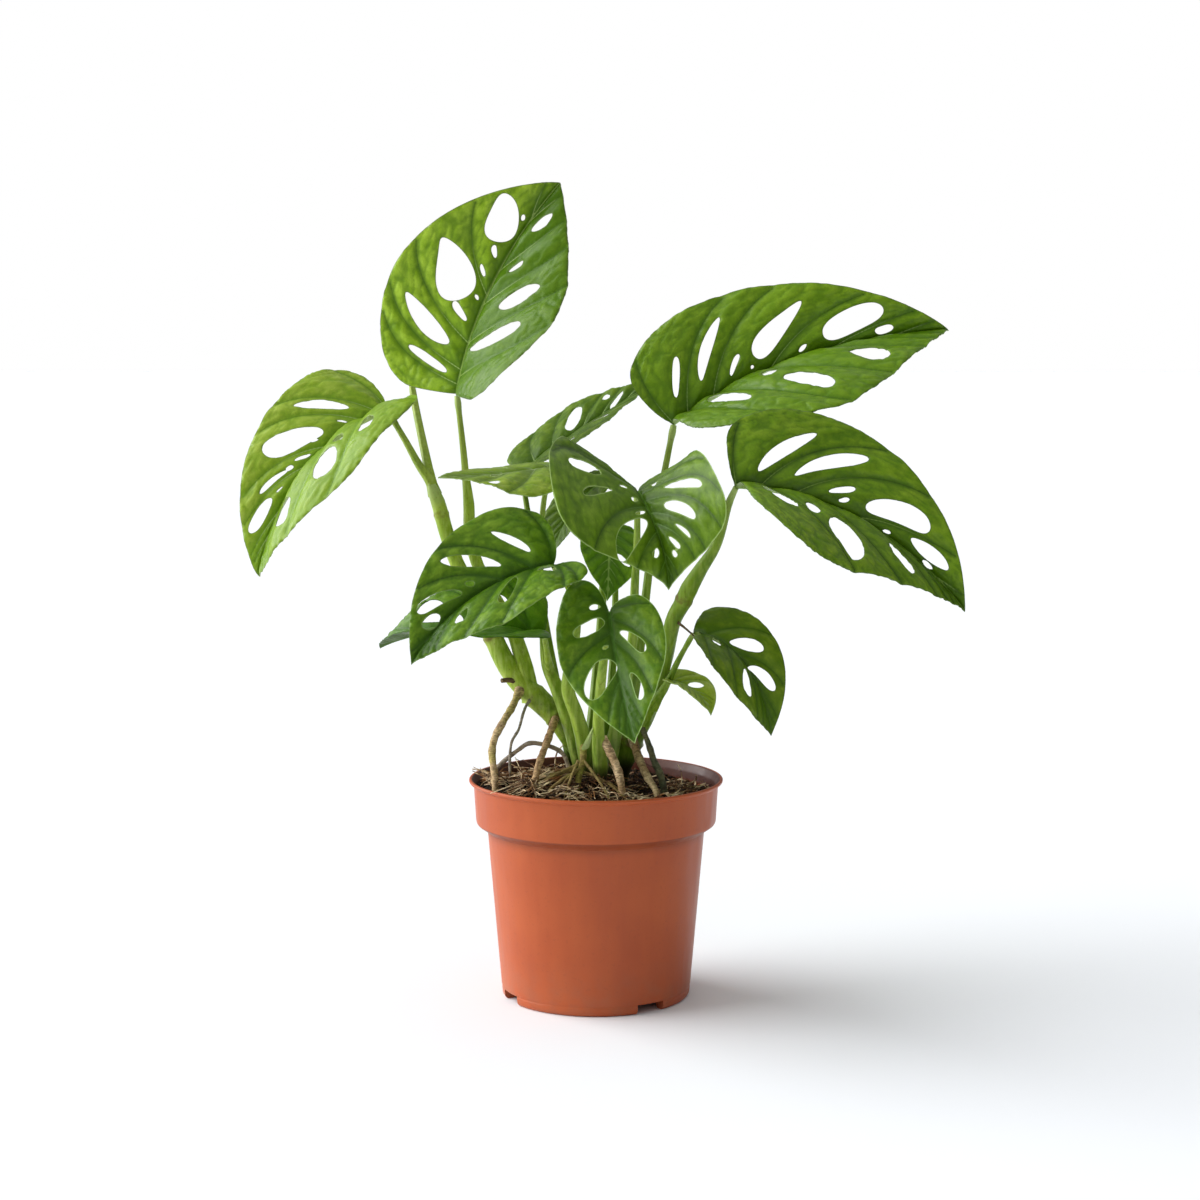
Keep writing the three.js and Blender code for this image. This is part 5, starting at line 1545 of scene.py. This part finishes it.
def flat_mesh(leaf):
    """The flat blade's points and triangles, with its vein lines, rim points and outlines."""
    step = SMALL_GRID_STEP if leaf["length"] < SMALL_LEAF else GRID_STEP
    halves, holes, veins = [], [], []
    for half, sign in ((0, 1), (1, -1)):
        outline = half_outline(leaf, half)
        hole_list = leaf.get(("left_holes", "right_holes")[half], [])
        half_holes = [hole_outline(leaf, half, outline, hole) for hole in hole_list]
        half_veins = side_veins(leaf, half, outline, half_holes)
        mirror = np.array([1, sign])
        halves.append(outline)
        holes += [hole * mirror for hole in half_holes]
        veins += [vein * mirror for vein in half_veins]
    edge = np.vstack([halves[0], halves[1][-2:0:-1] * (1, -1)])
    midrib = evenly(np.array([[0.0, 0.0], [leaf["length"], 0.0]]), LINE_STEP)
    rows = [midrib[2:-3] + np.array([0.3, gap]) for gap in (-1.3, -0.6, 0.6, 1.3)]
    rims = np.vstack([edge] + holes)
    points, edges = [], []
    for line in [edge] + holes + [midrib] + veins:
        first = len(points)
        points += line.tolist()
        edges += [(first + i, first + i + 1) for i in range(len(line) - 1)]
        if any(line is loop for loop in [edge] + holes):
            edges.append((first + len(line) - 1, first))
    low, high = edge.min(axis=0), edge.max(axis=0)
    grid = []
    for row in range(int((high[1] - low[1]) / (0.87 * step)) + 1):
        for column in range(int((high[0] - low[0]) / step) + 1):
            grid.append((low[0] + (column + 0.5 * (row % 2)) * step, low[1] + row * 0.87 * step))
    grid = np.vstack([np.array(grid)] + rows)
    keep = inside(grid, edge)
    for hole in holes:
        keep &= ~inside(grid, hole)
    grid = grid[keep]
    in_row = np.abs(grid[:, 1]) < 1.4
    exact = np.isin(np.abs(grid[:, 1]), (0.6, 1.3))
    gap = nearest(grid, np.array(points), 9)
    grid = grid[(gap > 0.62 * step) & (~in_row | exact) | exact & (gap > 0.4)]
    points += grid.tolist()
    result = geometry.delaunay_2d_cdt([Vector(p) for p in points], edges, [], 0, 1e-4)
    flat = np.array([tuple(vertex) for vertex in result[0]])
    triangles = np.array([face for face in result[2] if len(face) == 3])
    middles = flat[triangles].mean(axis=1)
    keep = inside(middles, edge)
    for hole in holes:
        keep &= ~inside(middles, hole)
    triangles = triangles[keep]
    a, b, c = (flat[triangles[:, k]] for k in range(3))
    area = (b[:, 0] - a[:, 0]) * (c[:, 1] - a[:, 1]) - (b[:, 1] - a[:, 1]) * (c[:, 0] - a[:, 0])
    triangles = triangles[np.abs(area) > 1e-7]
    area = area[np.abs(area) > 1e-7]
    triangles[area < 0] = triangles[area < 0][:, ::-1]
    used = np.unique(triangles)
    number = np.full(len(flat), -1)
    number[used] = np.arange(len(used))
    return flat[used], number[triangles], veins, rims, halves


def quilting(leaf, number, halves, flat, big):
    """The puckers between the finest veins, longest along them: 0 in the creases, 1 on top."""
    quilt = np.empty(len(flat))
    for half, sign in ((0, 1), (1, -1)):
        chosen = np.flatnonzero((flat[:, 1] < 0) == (half == 1))
        starts, runs = vein_run(leaf, half, halves[half], flat[chosen] * (1, sign))
        for i, start, run in zip(chosen, starts, runs):
            across, along = start / (PUCKER_WIDTH * big), run / (PUCKER_LENGTH * big)
            spot = Vector((across, along, 7.0 * number + 3.0 * half))
            cells = noise.noise(spot) + 0.5 * noise.noise(2.1 * spot)
            quilt[i] = 1 - math.exp(-((cells / 0.22) ** 2))
    return quilt


def leaf_blade(leaf, number):
    """The blade's closed mesh, with its distances to veins and rims kept on its points."""
    flat, triangles, veins, rims, halves = flat_mesh(leaf)
    length = leaf["length"]
    u, v = flat[:, 0], flat[:, 1]
    vein_points = np.vstack([evenly(vein, 0.4) for vein in veins]) if veins else []
    vein_gap = np.minimum(nearest(flat, vein_points, 15), np.abs(v))
    rim_gap = nearest(flat, rims, 15)
    reach = np.where(v >= 0, margin_at(halves[0], u), margin_at(halves[1], u))
    share = np.clip(np.abs(v) / np.maximum(reach, 1), 0, 1)

    big = math.sqrt(length / FULL_SIZE)
    quilt = quilting(leaf, number, halves, flat, big)
    crease = CREASE * big * (1 - np.exp(-vein_gap / CREASE_SPREAD))
    pleat = PLEAT * big**1.6 * (1 - np.exp(-((vein_gap / (PLEAT_SPREAD * big)) ** 2))) * (1 - 0.6 * share)
    pucker = PUCKER * big * quilt * np.clip(vein_gap / CREASE_SPREAD, 0, 1) * (0.45 + 0.55 * share)
    slow = [noise.noise((a / (WAVE_SPREAD * length), 4.0 * (b < 0), 9.0 * number)) for a, b in flat]
    wave = WAVE * big * np.array(slow) * share**2
    rolled = ROLL * big * np.exp(-rim_gap / ROLL_SPREAD)
    to_tip = np.clip(1 - u / length, 0, 1)
    groove = MIDRIB_GROOVE * big * np.exp(-((v / GROOVE_SPREAD) ** 2)) * to_tip
    lift = crease + pleat + pucker + wave - rolled - groove
    rib = (0.3 + big * to_tip) * np.exp(-((v / (0.5 + 0.5 * big * to_tip)) ** 2))
    full = THIN_EDGE + (1 - THIN_EDGE) * rim_gap / THICK_FROM
    thickness = BLADE_THICKNESS * np.clip(full, THIN_EDGE, 1)
    upper = bend_blade(leaf, flat, lift + thickness / 2)
    lower = bend_blade(leaf, flat, lift - thickness / 2 - rib)

    count = len(flat)
    directed = {(a, b) for t in triangles.tolist() for a, b in zip(t, t[1:] + t[:1])}
    open_edges = [(a, b) for a, b in directed if (b, a) not in directed]
    faces = triangles.tolist()
    faces += (triangles[:, ::-1] + count).tolist()
    faces += [(b, a, a + count, b + count) for a, b in sorted(open_edges)]
    blade = mesh_object("blade_" + leaf["name"].removeprefix("leaf_"), np.vstack([upper, lower]), faces)
    blade.data.set_sharp_from_angle(angle=math.radians(65))
    both_faces = {
        "vein_gap": vein_gap,
        "rib_gap": np.abs(v),
        "rim_gap": rim_gap,
        "up_leaf": u / length,
        "out_leaf": share,
        "quilt": quilt,
        "right_half": (v < 0).astype(float),
    }
    for name, values in both_faces.items():
        set_attribute(blade, name, np.tile(values, 2))
    set_attribute(blade, "underside", np.repeat([0.0, 1.0], count))
    flat_map = blade.data.uv_layers.new(name="flat_leaf")
    corners = np.empty(len(blade.data.loops), int)
    blade.data.loops.foreach_get("vertex_index", corners)
    flat_map.data.foreach_set("uv", (np.tile(flat, (2, 1))[corners] / 100 + 0.5).ravel())
    return blade


LEAF_COLOURS = ("Deep", "Bright", "Light", "Vein", "Rim", "Under", "Rib")
# How much deeper green the left and right halves are painted: painted shade on the half of a folded leaf
# that is turned from the light.
PAINTED_SHADE_HALVES = {
    "leaf_top_left": (0.0, 0.8),
    "leaf_far_left": (0.5, 0.0),
    "leaf_upper_right": (0.0, 0.35),
    "leaf_centre": (0.2, 0.0),
    "leaf_low_left": (0.5, 0.0),
}
LEAF_GLOSS = 0.2
DULLER_LEAVES = {"leaf_high_middle": 0.06, "leaf_top_left": 0.16, "leaf_behind_centre": 0.1}
NET_FINENESS = 62.0

leaf_colour, given = new_group(
    "leaf_colour",
    "ShaderNodeTree",
    {**dict.fromkeys(LEAF_COLOURS, "Color"), "Left Painted Shade": "Float", "Right Painted Shade": "Float"},
    {"Colour": "Color", "Relief": "Float"},
)
tree = leaf_colour
place = object_place(tree)
vein_gap = attribute(tree, "vein_gap")
rib_gap = attribute(tree, "rib_gap")
out_leaf = attribute(tree, "out_leaf")
flat_map = output_of(tree, "ShaderNodeUVMap", uv_map="flat_leaf")
net_inputs = {"Vector": flat_map, "Scale": NET_FINENESS}
net = output_of(tree, "ShaderNodeTexVoronoi", net_inputs, feature="DISTANCE_TO_EDGE")
tops = ramp(tree, attribute(tree, "quilt"), 0.0, 0.9, 0.54, 1.0)
raised = times(tree, tops, ramp(tree, vein_gap, 0.1, 2.4, 0.25, 1.0))
blotch = ramp(tree, patch_mask(tree, place, 0.010, 2.0, 0.5, 0.3), 0.0, 1.0, 0.7, 1.0)
glow = times(tree, raised, patch_mask(tree, place, 0.0055, 2.0, 0.45, 0.3))
deeper = (given["Left Painted Shade"], given["Right Painted Shade"])
colour = coated(
    tree,
    given["Deep"],
    (raised, blotch, given["Bright"]),
    (glow, ramp(tree, out_leaf, 0.0, 0.9, 0.25, 0.95), given["Light"]),
    (ramp(tree, rib_gap, 8.0, 0.6), 0.55, given["Deep"]),
    # painted shade over one half of a folded leaf
    (ramp(tree, attribute(tree, "right_half"), 0.0, 1.0, *deeper, "LINEAR"), 1.0, given["Deep"]),
    (ramp(tree, net, 0.10, 0.0), 0.16, given["Vein"]),
    (ramp(tree, vein_gap, 0.5, 0.1), 0.55, given["Vein"]),
    (ramp(tree, vein_gap, 0.4, 0.15), ramp(tree, out_leaf, 0.55, 0.05, 0.0, 0.6), given["Rib"]),
    (ramp(tree, rib_gap, 1.0, 0.45), ramp(tree, attribute(tree, "up_leaf"), 0.8, 0.0), given["Rib"]),
    # a line along the edge and the holes' rims: dark, the leaf's own outline; pale, a painted highlight on
    # the lit edge
    (ramp(tree, attribute(tree, "rim_gap"), 0.55, 0.1), 0.75, given["Rim"]),
)
below = mixed(tree, ramp(tree, vein_gap, 0.9, 0.2, 0.0, 0.6), given["Under"], given["Rib"])
colour = mixed(tree, attribute(tree, "underside"), colour, below)
add_node(tree, "NodeGroupOutput", {"Colour": colour, "Relief": net})


def leaf_skin(name, greens, deeper, gloss):
    """A satin leaf surface in a leaf's own greens."""
    material, tree, shader = new_material(name, Specular_IOR_Level=gloss)
    values = {socket: paint(code) for socket, code in zip(LEAF_COLOURS, greens)}
    values["Left Painted Shade"], values["Right Painted Shade"] = deeper
    surface = add_node(tree, "ShaderNodeGroup", values, node_tree=leaf_colour).outputs
    worn = patch_mask(tree, object_place(tree), 0.010, 3.0, 0.5, 0.3)
    satin = ramp(tree, worn, 0.0, 1.0, 0.30, 0.42)
    finish(tree, shader, surface["Colour"], surface["Relief"], 0.12, 0.0004, satin)
    return material


# Each leaf's greens, in the order of LEAF_COLOURS.
GREENS = {
    "leaf_top_left": ("#406604", "#7ca010", "#a6c63a", "#3d5c07", "#66744a", "#94b343", "#a9c46c"),
    "leaf_far_left": ("#648c0e", "#8aa822", "#a5bc48", "#527314", "#7a8c50", "#9eb65f", "#b4cc80"),
    "leaf_upper_right": ("#426a03", "#6a900a", "#82a420", "#365407", "#4f6530", "#7e9d34", "#a4c46c"),
    "leaf_right": ("#365906", "#628808", "#7c9a20", "#294305", "#4b6030", "#74912e", "#8fb050"),
    "leaf_high_middle": ("#36540a", "#506e12", "#70882a", "#2e450b", "#6f8a48", "#748c3e", "#a4c070"),
    "leaf_centre": ("#3a5c07", "#60840f", "#7e9e2b", "#2c450a", "#a4c070", "#738f3c", "#6a9438"),
    "leaf_left": ("#2c5202", "#567e0b", "#7c9e28", "#244203", "#6f8a48", "#73923b", "#3c6414"),
    "leaf_front": ("#345803", "#507809", "#749421", "#274304", "#a4c474", "#6c8a32", "#4a7420"),
    "leaf_low_right": ("#426406", "#5e7c0b", "#7c9423", "#334b07", "#4a5a2c", "#6e8532", "#4a6a22"),
    "leaf_young": ("#98b42c", "#bcd04c", "#d0de78", "#526914", "#b5cc84", "#9baf5e", "#b9d084"),
    "leaf_hanging": ("#4c7806", "#70a010", "#8cb42c", "#3e6208", "#7a9850", "#7a9d36", "#a8c86a"),
    "leaf_low_left": ("#3a6a02", "#5a8608", "#789e22", "#274703", "#3c5c18", "#3a5a10", "#4a7018"),
    "leaf_level": ("#5f800d", "#8aac1f", "#aec24b", "#476114", "#b0c882", "#95ad56", "#b0c882"),
    "leaf_behind_centre": ("#486413", "#627e1f", "#768e37", "#3b521c", "#6a8844", "#778f51", "#7a9a50"),
}
SLOTS = {node["node"]: node["material_slot"] for node in frame["record"]["subparts"]}

for number, leaf in enumerate(LEAVES):
    name = leaf["name"]
    blade = leaf_blade(leaf, number)
    deeper = PAINTED_SHADE_HALVES.get(name, (0.0, 0.0))
    gloss = DULLER_LEAVES.get(name, LEAF_GLOSS)
    blade.data.materials.append(leaf_skin(name + "_skin", GREENS[name], deeper, gloss))
    put_in_place(blade, SLOTS[name], name)


# ---------------------------------------------------------------- size
# The solids' box and the dressed plant's box, kept side by side.

size = {"cad": [list(corner) for corner in cad_box], "visual": [list(corner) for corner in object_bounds()]}
